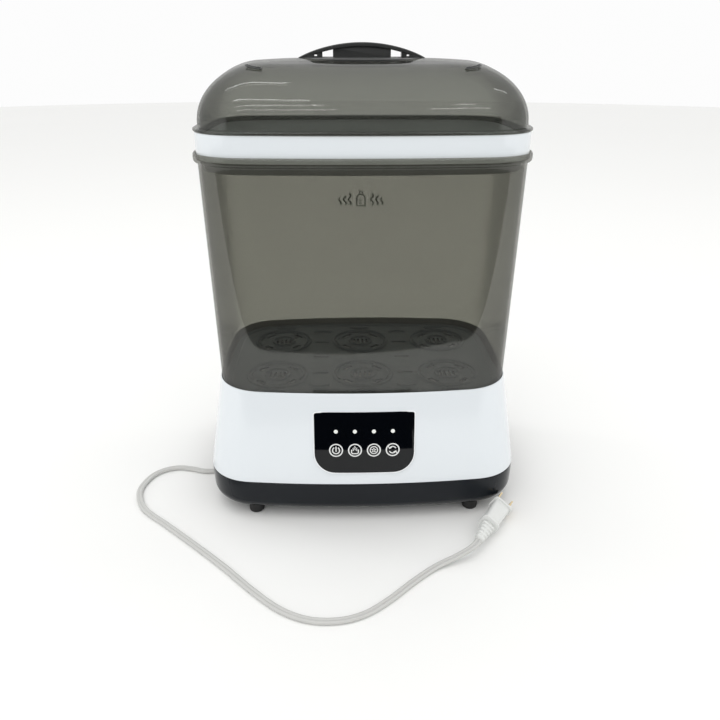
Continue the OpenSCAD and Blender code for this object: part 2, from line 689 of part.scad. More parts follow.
// Smoke-grey dome with a thin flange on the ring, a skirt inside it, and four steam vents.
module lid() {
    foot_z = ring_top_z + gap;
    function at(z, d) = [z, dome_hx - d, dome_hy - d, corner_r - 1 - d, 4.6];
    vent = [76, 56];
    color([0.45, 0.45, 0.42, 0.5]) difference() {
        loft(concat(
            reversed(dome_rings(-clear_wall)),
            [at(foot_z - 4.6, 2.2), at(foot_z - 4.6, 0.6), at(foot_z, 0.4), at(foot_z, -3.4),
                at(foot_z + 1, -3.9), at(foot_z + 2, -3.7), at(foot_z + 2.6, -2.6), at(foot_z + 3, 0)],
            dome_rings(0)));
        for (sx = [-1, 1]) for (sy = [-1, 1]) translate([sx * vent.x, sy * vent.y, 380])
            rotate([0, 0, atan2(sy * 7, sx * 5) - 24]) rotate_extrude(angle = 48, $fn = 96)
                translate([17.1, 0]) square([2.4, 30]);
        handle_holes(1.7);
    }
}

// The two screw positions under the handle, as upright cylinders.
module handle_holes(r) {
    for (s = [-1, 1]) translate([s * handle_screw_x, 0, lid_top_z - 6]) cylinder(h = 13, r = r, $fn = 24);
}

// Eye shape of the handle in plan.
module eye(half_l, half_w) {
    r = (half_l * half_l + half_w * half_w) / (2 * half_w);
    intersection() {
        translate([0, r - half_w]) circle(r, $fn = 128);
        translate([0, half_w - r]) circle(r, $fn = 128);
    }
}

// Charcoal handle: a low eye-shaped plate that follows the dome, and an arched grip along it.
module lid_handle() {
    half_l = handle_l / 2;
    half_w = 34;
    rise = 10.6;
    arch_n = 20;
    crest = 415.6;
    function arch(x, drop) = crest - drop - rise * pow(x / half_l, 2);
    function arch_line(drop, end) = [for (i = [-arch_n:arch_n]) let (x = end * i / arch_n) [x, arch(x, drop)]];
    // The dome itself with a hair of clearance, cut out of whatever lies on it.
    module over_dome() {
        loft(concat([[dome_low_z - 3, dome_hx, dome_hy, 40, 4.6]], dome_rings(0.05, 15)));
    }
    module along(depth) {
        translate([0, depth / 2, 0]) rotate([90, 0, 0]) linear_extrude(depth) children();
    }
    color([0.16, 0.17, 0.17]) {
        intersection() {
            translate([0, 0, dome_low_z + 30]) linear_extrude(40) eye(half_l, half_w);
            difference() {
                loft(dome_rings(2.2, 15));
                over_dome();
                handle_holes(1.5);
            }
        }
        difference() {
            along(15) polygon(concat(arch_line(0, half_l - 1), reversed(arch_line(3.2, half_l - 1))));
            over_dome();
        }
        difference() {
            along(9) difference() {
                polygon(concat(arch_line(2, half_l - 8),
                    [[half_l - 12, lid_top_z + 0.05], [12 - half_l, lid_top_z + 0.05]]));
                for (s = [-1, 1]) {
                    polygon([[s * 24.5, lid_top_z + 2.2], [s * 33.5, lid_top_z + 2.2],
                        [s * 33.5, arch(33.5, 3.2)], [s * 24.5, arch(24.5, 3.2)]]);
                    translate([s * 39.4 - 1, lid_top_z + 2.2]) square([2, 1.4]);
                }
            }
            handle_holes(1.5);
        }
    }
}

module handle_screws() {
    under = lid_top_z - clear_wall - 0.1;
    color([0.75, 0.76, 0.78]) for (s = [-1, 1]) translate([s * handle_screw_x, 0, under]) {
        translate([0, 0, -2]) cylinder(h = 2, r = 3, $fn = 24);
        translate([0, 0, -1]) cylinder(h = 9, r = 1.45, $fn = 24);
    }
}

base_shell();
base_pan();
feet();
base_screws();
control_panel();
panel_trim();
led_lenses();
control_board();
touch_springs();
power_board();
heating_plate();
plate_seal();
heating_element();
thermostat();
thermal_fuse();
blower_housing();
blower_cover();
blower_screws();
fan_motor();
fan_wheel();
air_heater();
air_duct();
outlet_grille();
filter_cover();
air_filter();
cord_clamp();
cord_relief();
power_cord();
plug_body();
plug_blades();
bottle_tray();
chamber();
upper_ring();
accessory_tray();
lid();
lid_handle();
handle_screws();
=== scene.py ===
"""Looks of the bottle sterilizer. Sizes are in millimetres until mesh() turns them into metres."""
import math

import bmesh
import bpy
import numpy as np
from mathutils import Matrix, Vector


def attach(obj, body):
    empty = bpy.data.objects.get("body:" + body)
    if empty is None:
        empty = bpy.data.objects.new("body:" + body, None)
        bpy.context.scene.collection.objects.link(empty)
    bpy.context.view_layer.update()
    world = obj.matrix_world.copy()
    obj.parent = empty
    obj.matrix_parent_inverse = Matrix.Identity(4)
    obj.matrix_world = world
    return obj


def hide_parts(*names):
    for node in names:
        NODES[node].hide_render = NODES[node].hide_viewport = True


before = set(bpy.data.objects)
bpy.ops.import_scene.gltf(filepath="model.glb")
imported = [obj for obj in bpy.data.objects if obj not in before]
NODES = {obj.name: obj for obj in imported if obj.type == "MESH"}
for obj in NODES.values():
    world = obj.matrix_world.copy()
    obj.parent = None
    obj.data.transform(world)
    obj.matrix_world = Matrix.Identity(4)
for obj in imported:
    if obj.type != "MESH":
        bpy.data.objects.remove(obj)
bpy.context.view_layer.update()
MM = 0.001

# ---------------------------------------------------------------- driving sizes, in millimetres

BASE_HX, BASE_HY, BASE_CORNER = 150, 106.5, 44    # half width, half depth and corner radius at the seam
SEAM_Z = 41                                       # where the white shell meets the black pan
BASE_BOW, BOW = 5.8, 4.6                          # crowning of the long sides: base, and parts above it
CHAMBER_LOW_Z, CHAMBER_TOP_Z = 121.3, 326.3
CHAMBER_HX, CHAMBER_HY, CORNER = 134.6, 94.2, 43  # at the chamber's foot
FLARE_X, FLARE_Y = 3.7, 2.4                       # what the chamber gains on each side up to its top
WALL = 2.2                                        # clear plastic
DECK_Z, DISH_HOLE_R = 112, 77.4
PANEL_HX, PANEL_LOW_Z, PANEL_TOP_Z = 45.5, 54.0, 113.0
PANEL_LOW_R, PANEL_TOP_R = 19.0, 2.5
KEY_PITCH, KEY_Z, LAMP_Z = 17.3, 76.4, 94.6
TRAY_FLOOR_Z = 124.1
PLACE_X, PLACE_Y = 82, 41                         # spacing of the six places, and half of it front to rear
RING_HX, RING_HY = 139, 97.2
LID_HX, LID_HY = 136.3, 94.6
DOME_FOOT_Z, DOME_RISE, CROWN_RISE = 356, 44, 3.6
SHOULDER, CROWN = 48.5, 88                        # how far in the shoulder ends, and the crown levels out
LID_TOP_Z = 403.6
SAG, SAG_Y = 3.0, 36                              # fall of the crown to front and rear, and its reach
VENT_X, VENT_Y = 76, 43
PLATE_HX, PLATE_HY, PLATE_TOP_Z = 54, 34, 404.1
TOP_Z, ARCH_RISE = 415.6, 11.2

# ---------------------------------------------------------------- camera

camera = bpy.data.objects.new("camera", bpy.data.cameras.new("camera"))
bpy.context.scene.collection.objects.link(camera)
bpy.context.scene.camera = camera
camera.data.lens = 33.75
camera.data.sensor_width = 36
camera.data.clip_start = 0.01
forward = Vector((0.02379, 0.90955, -0.41491)).normalized()
right = forward.cross(Vector((0.01030, 0.41478, 0.90986))).normalized()
above = right.cross(forward)
camera.matrix_world = Matrix((
    (right.x, above.x, -forward.x, -0.01789),
    (right.y, above.y, -forward.y, -0.63090),
    (right.z, above.z, -forward.z, 0.40785),
    (0, 0, 0, 1)))
bpy.context.scene.view_settings.view_transform = "Standard"


# ---------------------------------------------------------------- mesh helpers

def mesh(name, points, faces, body, replaces=(), slot=None, sharp=35, material=None):
    """A piece from points in millimetres. It rides on its body at once."""
    data = bpy.data.meshes.new(name)
    data.from_pydata((np.asarray(points, float) * MM).tolist(), [], [list(map(int, f)) for f in faces])
    b = bmesh.new()
    b.from_mesh(data)
    bmesh.ops.remove_doubles(b, verts=b.verts, dist=2e-6)
    bmesh.ops.recalc_face_normals(b, faces=b.faces)
    b.to_mesh(data)
    b.free()
    obj = bpy.data.objects.new(name, data)
    bpy.context.scene.collection.objects.link(obj)
    finish_shading(obj, sharp)
    if body:
        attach(obj, body)
    if replaces:
        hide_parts(*replaces)
    if material:
        obj.data.materials.append(material)
    return obj


def finish_shading(obj, sharp=35):
    """Smooth faces, with edges kept sharp past an angle in degrees."""
    obj.data.shade_smooth()
    obj.data.set_sharp_from_angle(angle=math.radians(sharp))


def bake(obj, sharp=35):
    """Applies a piece's modifiers."""
    graph = bpy.context.evaluated_depsgraph_get()
    made = bpy.data.meshes.new_from_object(obj.evaluated_get(graph))
    obj.modifiers.clear()
    old = obj.data
    obj.data = made
    made.name = obj.name
    bpy.data.meshes.remove(old)
    finish_shading(obj, sharp)


def cut(obj, cutter, sharp=35):
    """Takes the cutter out of a piece, and removes the cutter."""
    m = obj.modifiers.new("cut", "BOOLEAN")
    m.object = cutter
    m.solver = "EXACT"
    bpy.context.view_layer.update()
    bake(obj, sharp)
    data = cutter.data
    bpy.data.objects.remove(cutter)
    bpy.data.meshes.remove(data)


def bevel(obj, width, segments, angle, sharp):
    """Rounds a piece's edges that are sharper than angle."""
    m = obj.modifiers.new("bevel", "BEVEL")
    m.width = width * MM
    m.segments = segments
    m.limit_method = "ANGLE"
    m.angle_limit = math.radians(angle)
    m.harden_normals = False
    bpy.context.view_layer.update()
    bake(obj, sharp)


def prism(outline, low, high, axis="z"):
    """Points and faces of a straight prism: outline is in the plane across the axis."""
    n = len(outline)
    place = {"z": lambda u, v, w: (u, v, w), "y": lambda u, v, w: (u, w, v), "x": lambda u, v,
             w: (w, u, v)}[axis]
    points = [place(u, v, w) for w in (low, high) for u, v in outline]
    faces = [list(range(n)), list(range(2 * n - 1, n - 1, -1))]
    faces += [[i, (i + 1) % n, n + (i + 1) % n, n + i] for i in range(n)]
    return points, faces


def joined(parts):
    """Points and faces of several parts as one."""
    points, faces = [], []
    for p, f in parts:
        faces += [[i + len(points) for i in face] for face in f]
        points += [tuple(x) for x in p]
    return points, faces


def circle(r, n=32, cx=0.0, cy=0.0):
    return [(cx + r * math.cos(2 * math.pi * i / n),
             cy + r * math.sin(2 * math.pi * i / n)) for i in range(n)]


def round_rect(w, h, r, n=8, cx=0.0, cy=0.0):
    """A rectangle of width w and height h with corners of radius r, n steps each."""
    out = []
    for sx, sy, a in ((1, -1, -90), (1, 1, 0), (-1, 1, 90), (-1, -1, 180)):
        for i in range(n + 1):
            t = math.radians(a + 90 * i / n)
            out.append((cx + sx * (w / 2 - r) + r * math.cos(t), cy + sy * (h / 2 - r) + r * math.sin(t)))
    return out


FRONT_STEPS, CORNER_STEPS, SIDE_STEPS = 30, 22, 14
SMOOTH_REACH = 8


def contour(hx, hy, r, bow, side, smooth=2.0):
    """A crowned rectangle with round corners, counter-clockwise from the middle of its front."""
    cx, cy = hx - side - r, hy - bow - r
    q = [(cx * i / FRONT_STEPS, -hy + bow * (i / FRONT_STEPS) ** 2) for i in range(FRONT_STEPS)]
    q += [(cx + r * math.cos(a), -cy + r * math.sin(a)) for a in np.radians(np.linspace(-90, 0,
                                                                                        CORNER_STEPS + 1))]
    q += [(hx - side * (i / SIDE_STEPS) ** 2, -cy * i / SIDE_STEPS) for i in range(SIDE_STEPS - 1, -1, -1)]
    q = np.array(q)
    n = len(q)
    outline = np.concatenate([q, (q * [1, -1])[n - 2::-1], (q * [-1, -1])[1:], (q * [-1, 1])[n - 2:0:-1]])
    k = np.arange(-SMOOTH_REACH, SMOOTH_REACH + 1)
    w = np.exp(-0.5 * (k / smooth) ** 2)
    return sum(wi * np.roll(outline, -ki, axis=0) for ki, wi in zip(k, w / w.sum()))


def ring(z, hx, hy, r, bow=BASE_BOW, side=1.0):
    """The contour as points at height z."""
    c = contour(hx, hy, r, bow, side)
    return np.column_stack([c, np.full(len(c), z)])


def strips(rings, closed=False, first=False, last=False):
    """Faces between rings of equal count, with the last joined to the first, or with end caps."""
    n, m = len(rings[0]), len(rings)
    points = np.concatenate(rings)
    faces = [(a * n + j, ((a + 1) % m) * n + j, ((a + 1) % m) * n + (j + 1) % n, a * n + (j + 1) % n)
             for a in range(m if closed else m - 1) for j in range(n)]
    if first:
        faces.append(list(range(n)))
    if last:
        faces.append(list(range((m - 1) * n, m * n)))
    return points, faces


def sweep(path, section, ups=None, caps=True, cyclic=False):
    """A tube: section points (side, up) carried along the path. section may be a function of t, 0 to 1."""
    path = np.asarray(path, float)
    n = len(path)
    rings = []
    for i in range(n):
        if cyclic:
            t = path[(i + 1) % n] - path[i - 1]
        else:
            t = path[min(i + 1, n - 1)] - path[max(i - 1, 0)]
        t = t / np.linalg.norm(t)
        up = np.array([0, 0, 1.0]) if ups is None else np.asarray(ups[i] if np.ndim(ups) > 1 else ups,
                                                                  float)
        side = np.cross(t, up)
        side /= np.linalg.norm(side)
        up = np.cross(side, t)
        sec = section(i / (n - 1)) if callable(section) else section
        rings.append(np.array([path[i] + side * a + up * b for a, b in sec]))
    return strips(rings, closed=cyclic, first=caps and not cyclic, last=caps and not cyclic)


def catmull(points, steps):
    """A smooth line through the points."""
    p = np.asarray(points, float)
    out = []
    for i in range(len(p) - 1):
        a, b, c, d = p[max(i - 1, 0)], p[i], p[i + 1], p[min(i + 2, len(p) - 1)]
        for k in range(steps):
            t = k / steps
            out.append(0.5 * (2 * b + (c - a) * t + (2 * a - 5 * b + 4 * c - d) * t ** 2
                              + (3 * b - a - 3 * c + d) * t ** 3))
    out.append(p[-1])
    return np.array(out)


# ---------------------------------------------------------------- materials

def material(name, color, rough, metal=0.0, coat=0.0, grain=0.0, grain_scale=900, bump=0.0, wear=0.08,
             stretch=(1, 1, 1), sheen=0.0, specular=0.5, tone_scale=14):
    """Moulded or metal finish: slow changes of tone, fine changes of gloss, and a fine surface bump."""
    m = bpy.data.materials.new(name)
    m.use_nodes = True
    t = m.node_tree
    s = t.nodes["Principled BSDF"]
    s.inputs["Metallic"].default_value = metal
    s.inputs["IOR"].default_value = 1.5
    s.inputs["Coat Weight"].default_value = coat
    s.inputs["Coat Roughness"].default_value = 0.04
    s.inputs["Sheen Weight"].default_value = sheen
    s.inputs["Specular IOR Level"].default_value = specular
    at = t.nodes.new("ShaderNodeTexCoord")
    place = t.nodes.new("ShaderNodeMapping")
    place.inputs["Scale"].default_value = stretch
    t.links.new(at.outputs["Object"], place.inputs["Vector"])
    slow = t.nodes.new("ShaderNodeTexNoise")
    slow.inputs["Scale"].default_value = tone_scale
    slow.inputs["Detail"].default_value = 4
    t.links.new(place.outputs["Vector"], slow.inputs["Vector"])
    tone = t.nodes.new("ShaderNodeMix")
    tone.data_type = "RGBA"
    c = np.array(color[:3])
    tone.inputs[6].default_value = (*(c * (1 - wear)), 1)
    tone.inputs[7].default_value = (*np.minimum(c * (1 + wear), 1), 1)
    t.links.new(slow.outputs["Fac"], tone.inputs[0])
    t.links.new(tone.outputs[2], s.inputs["Base Color"])
    fine = t.nodes.new("ShaderNodeTexNoise")
    fine.inputs["Scale"].default_value = grain_scale
    fine.inputs["Detail"].default_value = 3
    t.links.new(place.outputs["Vector"], fine.inputs["Vector"])
    gloss = t.nodes.new("ShaderNodeMapRange")
    gloss.inputs["To Min"].default_value = max(rough - grain, 0.02)
    gloss.inputs["To Max"].default_value = rough + grain
    t.links.new(fine.outputs["Fac"], gloss.inputs["Value"])
    t.links.new(gloss.outputs["Result"], s.inputs["Roughness"])
    if bump:
        b = t.nodes.new("ShaderNodeBump")
        b.inputs["Strength"].default_value = bump
        b.inputs["Distance"].default_value = 0.0002
        t.links.new(fine.outputs["Fac"], b.inputs["Height"])
        t.links.new(b.outputs["Normal"], s.inputs["Normal"])
    return m


def smoke(name, tint, haze, haze_color, rough=0.03, mirror=0.04):
    """Thin smoke-grey plastic: what is behind shows darkened, with a gloss and a little body of its own."""
    m = bpy.data.materials.new(name)
    m.use_nodes = True
    t = m.node_tree
    t.nodes.clear()
    out = t.nodes.new("ShaderNodeOutputMaterial")
    clear = t.nodes.new("ShaderNodeBsdfTransparent")
    body = t.nodes.new("ShaderNodeBsdfDiffuse")
    gloss = t.nodes.new("ShaderNodeBsdfGlossy")
    at = t.nodes.new("ShaderNodeTexCoord")
    slow = t.nodes.new("ShaderNodeTexNoise")
    slow.inputs["Scale"].default_value = 9
    slow.inputs["Detail"].default_value = 5
    t.links.new(at.outputs["Object"], slow.inputs["Vector"])
    tone = t.nodes.new("ShaderNodeMix")
    tone.data_type = "RGBA"
    c = np.array(tint)
    tone.inputs[6].default_value = (*(c * 0.985), 1)
    tone.inputs[7].default_value = (*np.minimum(c * 1.015, 1), 1)
    t.links.new(slow.outputs["Fac"], tone.inputs[0])
    slant = t.nodes.new("ShaderNodeLayerWeight")
    slant.inputs["Blend"].default_value = 0.5
    longer = t.nodes.new("ShaderNodeMath")
    longer.operation = "POWER"
    longer.inputs[1].default_value = 3
    t.links.new(slant.outputs["Facing"], longer.inputs[0])
    deep = t.nodes.new("ShaderNodeMix")
    deep.data_type = "RGBA"
    deep.blend_type = "MULTIPLY"
    deep.inputs[7].default_value = (0.5, 0.5, 0.5, 1)
    t.links.new(longer.outputs[0], deep.inputs[0])
    t.links.new(tone.outputs[2], deep.inputs[6])
    t.links.new(deep.outputs[2], clear.inputs["Color"])
    body.inputs["Color"].default_value = (*haze_color, 1)
    fine = t.nodes.new("ShaderNodeTexNoise")
    fine.inputs["Scale"].default_value = 60
    fine.inputs["Detail"].default_value = 2
    t.links.new(at.outputs["Object"], fine.inputs["Vector"])
    polish = t.nodes.new("ShaderNodeMapRange")
    polish.inputs["To Min"].default_value = rough * 0.6
    polish.inputs["To Max"].default_value = rough * 1.6
    t.links.new(fine.outputs["Fac"], polish.inputs["Value"])
    t.links.new(polish.outputs["Result"], gloss.inputs["Roughness"])
    within = t.nodes.new("ShaderNodeMixShader")
    within.inputs[0].default_value = haze
    t.links.new(clear.outputs[0], within.inputs[1])
    t.links.new(body.outputs[0], within.inputs[2])
    steep = t.nodes.new("ShaderNodeMath")
    steep.operation = "POWER"
    steep.inputs[1].default_value = 5
    t.links.new(slant.outputs["Facing"], steep.inputs[0])
    share = t.nodes.new("ShaderNodeMapRange")
    share.inputs["To Min"].default_value = mirror
    share.inputs["To Max"].default_value = 0.55
    t.links.new(steep.outputs[0], share.inputs["Value"])
    front = t.nodes.new("ShaderNodeMixShader")
    t.links.new(share.outputs["Result"], front.inputs[0])
    t.links.new(within.outputs[0], front.inputs[1])
    t.links.new(gloss.outputs[0], front.inputs[2])
    t.links.new(front.outputs[0], out.inputs["Surface"])
    return m


WHITE = material("white_plastic", (0.765, 0.805, 0.835), 0.16, coat=0.4, grain=0.03, grain_scale=260,
                 bump=0.02, wear=0.012)
BLACK = material("black_plastic", (0.010, 0.012, 0.015), 0.14, specular=0.2, grain=0.03, grain_scale=300,
                 bump=0.02, wear=0.15)
PANEL = material("panel_gloss", (0.0012, 0.0018, 0.003), 0.05, specular=0.36, grain=0.015, grain_scale=200,
                 wear=0.2)
# The bead is white plastic, lightened past the housing's white as a painted highlight along the panel's edge.
BEAD_HIGHLIGHT = material("panel_bead", (0.93, 0.95, 0.96), 0.2, grain=0.04, wear=0.03)
PRINT = material("key_print", (0.80, 0.81, 0.80), 0.4, grain=0.05, grain_scale=2500, wear=0.06)
LAMP = material("lamp_lens", (0.9, 0.92, 0.88), 0.2, coat=0.5, grain=0.05, grain_scale=1500, wear=0.04)
RUBBER = material("foot_rubber", (0.012, 0.012, 0.012), 0.6, grain=0.1, grain_scale=1600, bump=0.25,
                  wear=0.2)
GREY = material("grey_plastic", (0.27, 0.28, 0.28), 0.4, grain=0.08, grain_scale=1400, bump=0.1, wear=0.06)
CHARCOAL = material("charcoal_plastic", (0.085, 0.108, 0.125), 0.42, grain=0.08, grain_scale=1400,
                    bump=0.12, wear=0.1)
HANDLE = material("handle_plastic", (0.045, 0.047, 0.046), 0.3, coat=0.15, grain=0.06, grain_scale=1500,
                  bump=0.06, wear=0.12)
CORD = material("cord_vinyl", (0.56, 0.56, 0.54), 0.38, grain=0.06, grain_scale=700, bump=0.08, wear=0.04,
                tone_scale=40)
PLUG = material("plug_vinyl", (0.72, 0.73, 0.71), 0.36, grain=0.06, grain_scale=900, bump=0.08, wear=0.04,
                tone_scale=60)
BRASS = material("blade_brass", (0.75, 0.62, 0.40), 0.28, metal=1.0, grain=0.06, grain_scale=1500,
                 bump=0.05, wear=0.1)
STEEL = material("dish_steel", (0.62, 0.62, 0.62), 0.3, metal=1.0, grain=0.12, grain_scale=160, bump=0.06,
                 wear=0.06, stretch=(1, 14, 1))
SCREW = material("screw_steel", (0.55, 0.55, 0.57), 0.33, metal=1.0, grain=0.08, grain_scale=1200, bump=0.1,
                 wear=0.1)
ELEMENT = material("element_metal", (0.30, 0.28, 0.26), 0.5, metal=1.0, grain=0.12, grain_scale=500,
                   bump=0.1, wear=0.25)
MOTOR = material("motor_can", (0.55, 0.56, 0.58), 0.38, metal=1.0, grain=0.08, grain_scale=700, bump=0.08,
                 wear=0.08)
CERAMIC = material("ceramic", (0.74, 0.70, 0.60), 0.55, grain=0.08, grain_scale=900, bump=0.1, wear=0.08)
DARK = material("dark_plastic", (0.022, 0.022, 0.024), 0.5, grain=0.08, grain_scale=1300, bump=0.15,
                wear=0.15)
NATURAL = material("natural_plastic", (0.68, 0.68, 0.65), 0.42, grain=0.06, grain_scale=1100, bump=0.08,
                   wear=0.05)
PAPER = material("filter_paper", (0.80, 0.80, 0.75), 0.85, grain=0.05, grain_scale=2600, bump=0.5,
                 wear=0.06, sheen=0.2)
GREEN = material("board_green", (0.02, 0.13, 0.05), 0.35, grain=0.08, grain_scale=900, bump=0.08, wear=0.3,
                 tone_scale=120)
TAN = material("board_tan", (0.30, 0.20, 0.08), 0.55, grain=0.08, grain_scale=900, bump=0.1, wear=0.25,
               tone_scale=90)
SEAL = material("seal_rubber", (0.22, 0.23, 0.24), 0.6, grain=0.08, grain_scale=1500, bump=0.15, wear=0.08)
SMOKE = smoke("smoke_chamber", (0.674, 0.674, 0.643), 0.035, (0.32, 0.31, 0.28), mirror=0.05)
SMOKE_LID = smoke("smoke_lid", (0.655, 0.66, 0.635), 0.045, (0.34, 0.34, 0.31), 0.045)
MARK = material("wall_print", (0.05, 0.05, 0.045), 0.5, grain=0.05, grain_scale=2500, wear=0.1)

for node, finish in {
        "feet": RUBBER, "base_screws": SCREW, "led_lenses": LAMP, "control_board": GREEN,
        "touch_springs": SCREW, "power_board": TAN, "heating_plate": STEEL, "plate_seal": SEAL,
        "heating_element": ELEMENT, "thermostat": CERAMIC, "thermal_fuse": CERAMIC, "blower_housing": DARK,
        "blower_cover": DARK, "blower_screws": SCREW, "fan_motor": MOTOR, "fan_wheel": NATURAL,
        "air_heater": CERAMIC, "air_duct": NATURAL, "outlet_grille": CHARCOAL, "filter_cover": WHITE,
        "air_filter": PAPER, "cord_clamp": DARK, "cord_relief": PLUG, "plug_blades": BRASS,
        "handle_screws": SCREW, "base_shell": WHITE, "base_pan": BLACK, "control_panel": PANEL,
        "panel_trim": BEAD_HIGHLIGHT, "bottle_tray": CHARCOAL, "chamber": SMOKE, "upper_ring": WHITE,
        "accessory_tray": CHARCOAL, "lid": SMOKE_LID, "lid_handle": HANDLE, "power_cord": CORD,
        "plug_body": PLUG}.items():
    data = NODES[node].data
    data.materials.clear()
    data.materials.append(finish)

# ---------------------------------------------------------------- mains lead

PLUG_AT = np.array([114.0, -131.5, 12.6])
PLUG_TURN, PLUG_ROLL = math.radians(58), math.radians(29.4)
PLUG_REAR, PLUG_FRONT = 25.5, 30.7
plug_dir = np.array([math.cos(PLUG_TURN), math.sin(PLUG_TURN), 0.0])
CORD_X, CORD_Z = -70.0, 30.0
wall_y = BASE_HY - 0.6 - BASE_BOW * (CORD_X / (BASE_HX - 1 - BASE_CORNER)) ** 2
exit_y = wall_y + 30
ROUTE = [(CORD_X, exit_y + 0.1, CORD_Z), (CORD_X, exit_y + 6, CORD_Z),
         (-71, 151, 27.5), (-74, 163, 21), (-79, 174, 13), (-86.5, 183.4, 6.8), (-97, 189.8, 3),
         (-110, 191, 1.8), (-122, 187, 1.8), (-131, 177, 1.8), (-136, 162, 1.8), (-137, 142, 1.8),
         (-133, 112, 1.8), (-128, 78, 1.8), (-125.5, 46, 1.8), (-127, 20, 1.8), (-132, 2, 1.8),
         (-141, -12, 1.8), (-153.5, -20.5, 1.8), (-167.5, -21.5, 1.8), (-182, -16.8, 1.8),
         (-197, -14.4, 1.8), (-212, -20, 1.8), (-222.5, -34, 1.8), (-226, -58, 1.8), (-214, -86, 1.8),
         (-186, -112, 1.8), (-148, -147, 1.8), (-122, -172, 1.8), (-95, -200, 1.8), (-71, -221, 1.8),
         (-48, -232, 1.8), (-24, -233.5, 1.8), (-3, -227, 1.8), (17, -212.5, 1.8), (40, -191, 1.8),
         (60, -175, 2.4), (79, -167, 6.2), tuple(PLUG_AT - (PLUG_REAR + 7) * plug_dir - [3, 2, 1.2]),
         tuple(PLUG_AT - (PLUG_REAR + 0.1) * plug_dir)]
CORD_W, CORD_T = 6.3, 3.3


def twin_section(n=14):
    """Outline of two round cores side by side, with a groove along the middle."""
    r = CORD_T / 2
    off = CORD_W / 2 - r
    half = [(off + r * math.cos(a), r * math.sin(a)) for a in np.radians(np.linspace(-136, 136, n))]
    return half + [(-x, -y) for x, y in half]


lead_path = catmull(ROUTE, 8)
lead = mesh("mains_lead", *sweep(lead_path, twin_section()), "base", ["power_cord"], "white_cord", 60, CORD)

# ---------------------------------------------------------------- plug

turn = Matrix.Rotation(PLUG_TURN, 3, "Z") @ Matrix.Rotation(PLUG_ROLL, 3, "X")


def at_plug(points):
    """Points from the plug's own axes, x towards its blades, to where it lies."""
    return np.asarray(points, float) @ np.array(turn).T + PLUG_AT


def slab(x0, x1, w0, w1, h0, h1, r, n=5, steps=1):
    """A rounded block along x whose width and height change from one end to the other."""
    rings = []
    for k in range(steps + 1):
        f = k / steps
        x, w, h = x0 + (x1 - x0) * f, w0 + (w1 - w0) * f, h0 + (h1 - h0) * f
        rings.append(np.array([(x, a, b) for a, b in round_rect(w, h, min(r, w / 2 - 0.1, h / 2 - 0.1),
                                                                n)]))
    return strips(rings, first=True, last=True)


plug_parts = [
    slab(PLUG_FRONT - 2.3, PLUG_FRONT, 19.8, 19.8, 16.8, 16.8, 4.0),
    slab(1.0, PLUG_FRONT - 2.2, 14.8, 16.8, 13.6, 14.0, 3.2, steps=4),
    slab(-1.2, 1.2, 17.3, 17.3, 15.6, 15.6, 4.0),
    slab(-PLUG_REAR, -1.1, 6.6, 9.2, 5.6, 7.0, 2.4, steps=4)]
for i in range(5):                        # ribs of the strain relief, split along the middle
    x = -24.6 + i * 4.6
    w, h = 8.4 + i * 1.0, 6.8 + i * 0.38
    plug_parts.append(slab(x, x + 2.5, w, w + 0.7, h, h + 0.3, 2.2))
for i in range(4):                        # web between the two columns of slots
    plug_parts.append(slab(-24.0 + i * 4.6, -19.0 + i * 4.6, 2.0, 2.0, 6.9 + i * 0.38, 7.2 + i * 0.38, 0.8))
for i in range(6):                        # grip dashes on both narrow sides
    for side in (-1, 1):
        x = 6.0 + i * 3.3
        y = side * (7.1 + 0.03 * x)
        plug_parts.append(([(x + a, y + b, c) for c in (-4.2, 4.2)
                            for a, b in ((-0.6, -0.5), (0.6, -0.5), (0.6, 0.5), (-0.6, 0.5))],
                           [(3, 2, 1, 0), (4, 5, 6, 7), (0, 1, 5, 4), (1, 2, 6, 5), (2, 3, 7, 6),
                            (3, 0, 4, 7)]))
plug_points, plug_faces = joined(plug_parts)
plug = mesh("plug", at_plug(plug_points), plug_faces, "base", ["plug_body"], "white_cord", 40, PLUG)
bevel(plug, 0.35, 2, 50, 40)

# ---------------------------------------------------------------- base


def base_hx(z):
    """Half width of the base at height z: it narrows upwards."""
    return BASE_HX - 0.155 * (z - SEAM_Z)


def base_hy(z):
    return BASE_HY - 0.118 * (z - SEAM_Z)


def base_ring(z, off=0.0):
    return ring(z, base_hx(z) + off, base_hy(z) + off, BASE_CORNER + off)


def chamber_ring(z, off=0.0):
    t = (z - CHAMBER_LOW_Z) / (CHAMBER_TOP_Z - CHAMBER_LOW_Z)
    return ring(z, CHAMBER_HX + FLARE_X * t + off, CHAMBER_HY + FLARE_Y * t + off, CORNER + off, BOW)


def disc_ring(z, r, like):
    """A round ring whose points stand in the directions of another ring's."""
    a = np.arctan2(like[:, 1], like[:, 0])
    return np.column_stack([r * np.cos(a), r * np.sin(a), np.full(len(a), z)])


deck = chamber_ring(DECK_Z, -6)
shell_rings = [base_ring(z, o) for z, o in (
    (41.2, -2.6), (41, -2.2), (41, -0.9), (41.15, -0.45), (41.5, -0.12), (42.1, 0), (50, 0), (62, 0),
    (74, 0), (86, 0), (98, 0), (108, 0), (118, 0), (124, 0), (127.5, 0), (128.8, -0.06), (129.6, -0.2),
    (130.1, -0.42), (130.4, -0.7))]
shell_rings += [(chamber_ring(130.5, 1.2) + base_ring(130.5, -1.0)) / 2, chamber_ring(130.4, 0.8),
                chamber_ring(130, 0.62), chamber_ring(129, 0.6), chamber_ring(121.2, 0.6),
                chamber_ring(121, 0.4), chamber_ring(121, -5.4), chamber_ring(120.8, -5.9),
                chamber_ring(DECK_Z + 0.4, -6), chamber_ring(DECK_Z, -6.4),
                disc_ring(DECK_Z, DISH_HOLE_R, deck), disc_ring(DECK_Z - 0.3, DISH_HOLE_R - 0.4, deck),
                disc_ring(DECK_Z - 3, DISH_HOLE_R - 0.4, deck), base_ring(109, -4), base_ring(106, -2.7),
                base_ring(80, -2.6), base_ring(60, -2.6)]
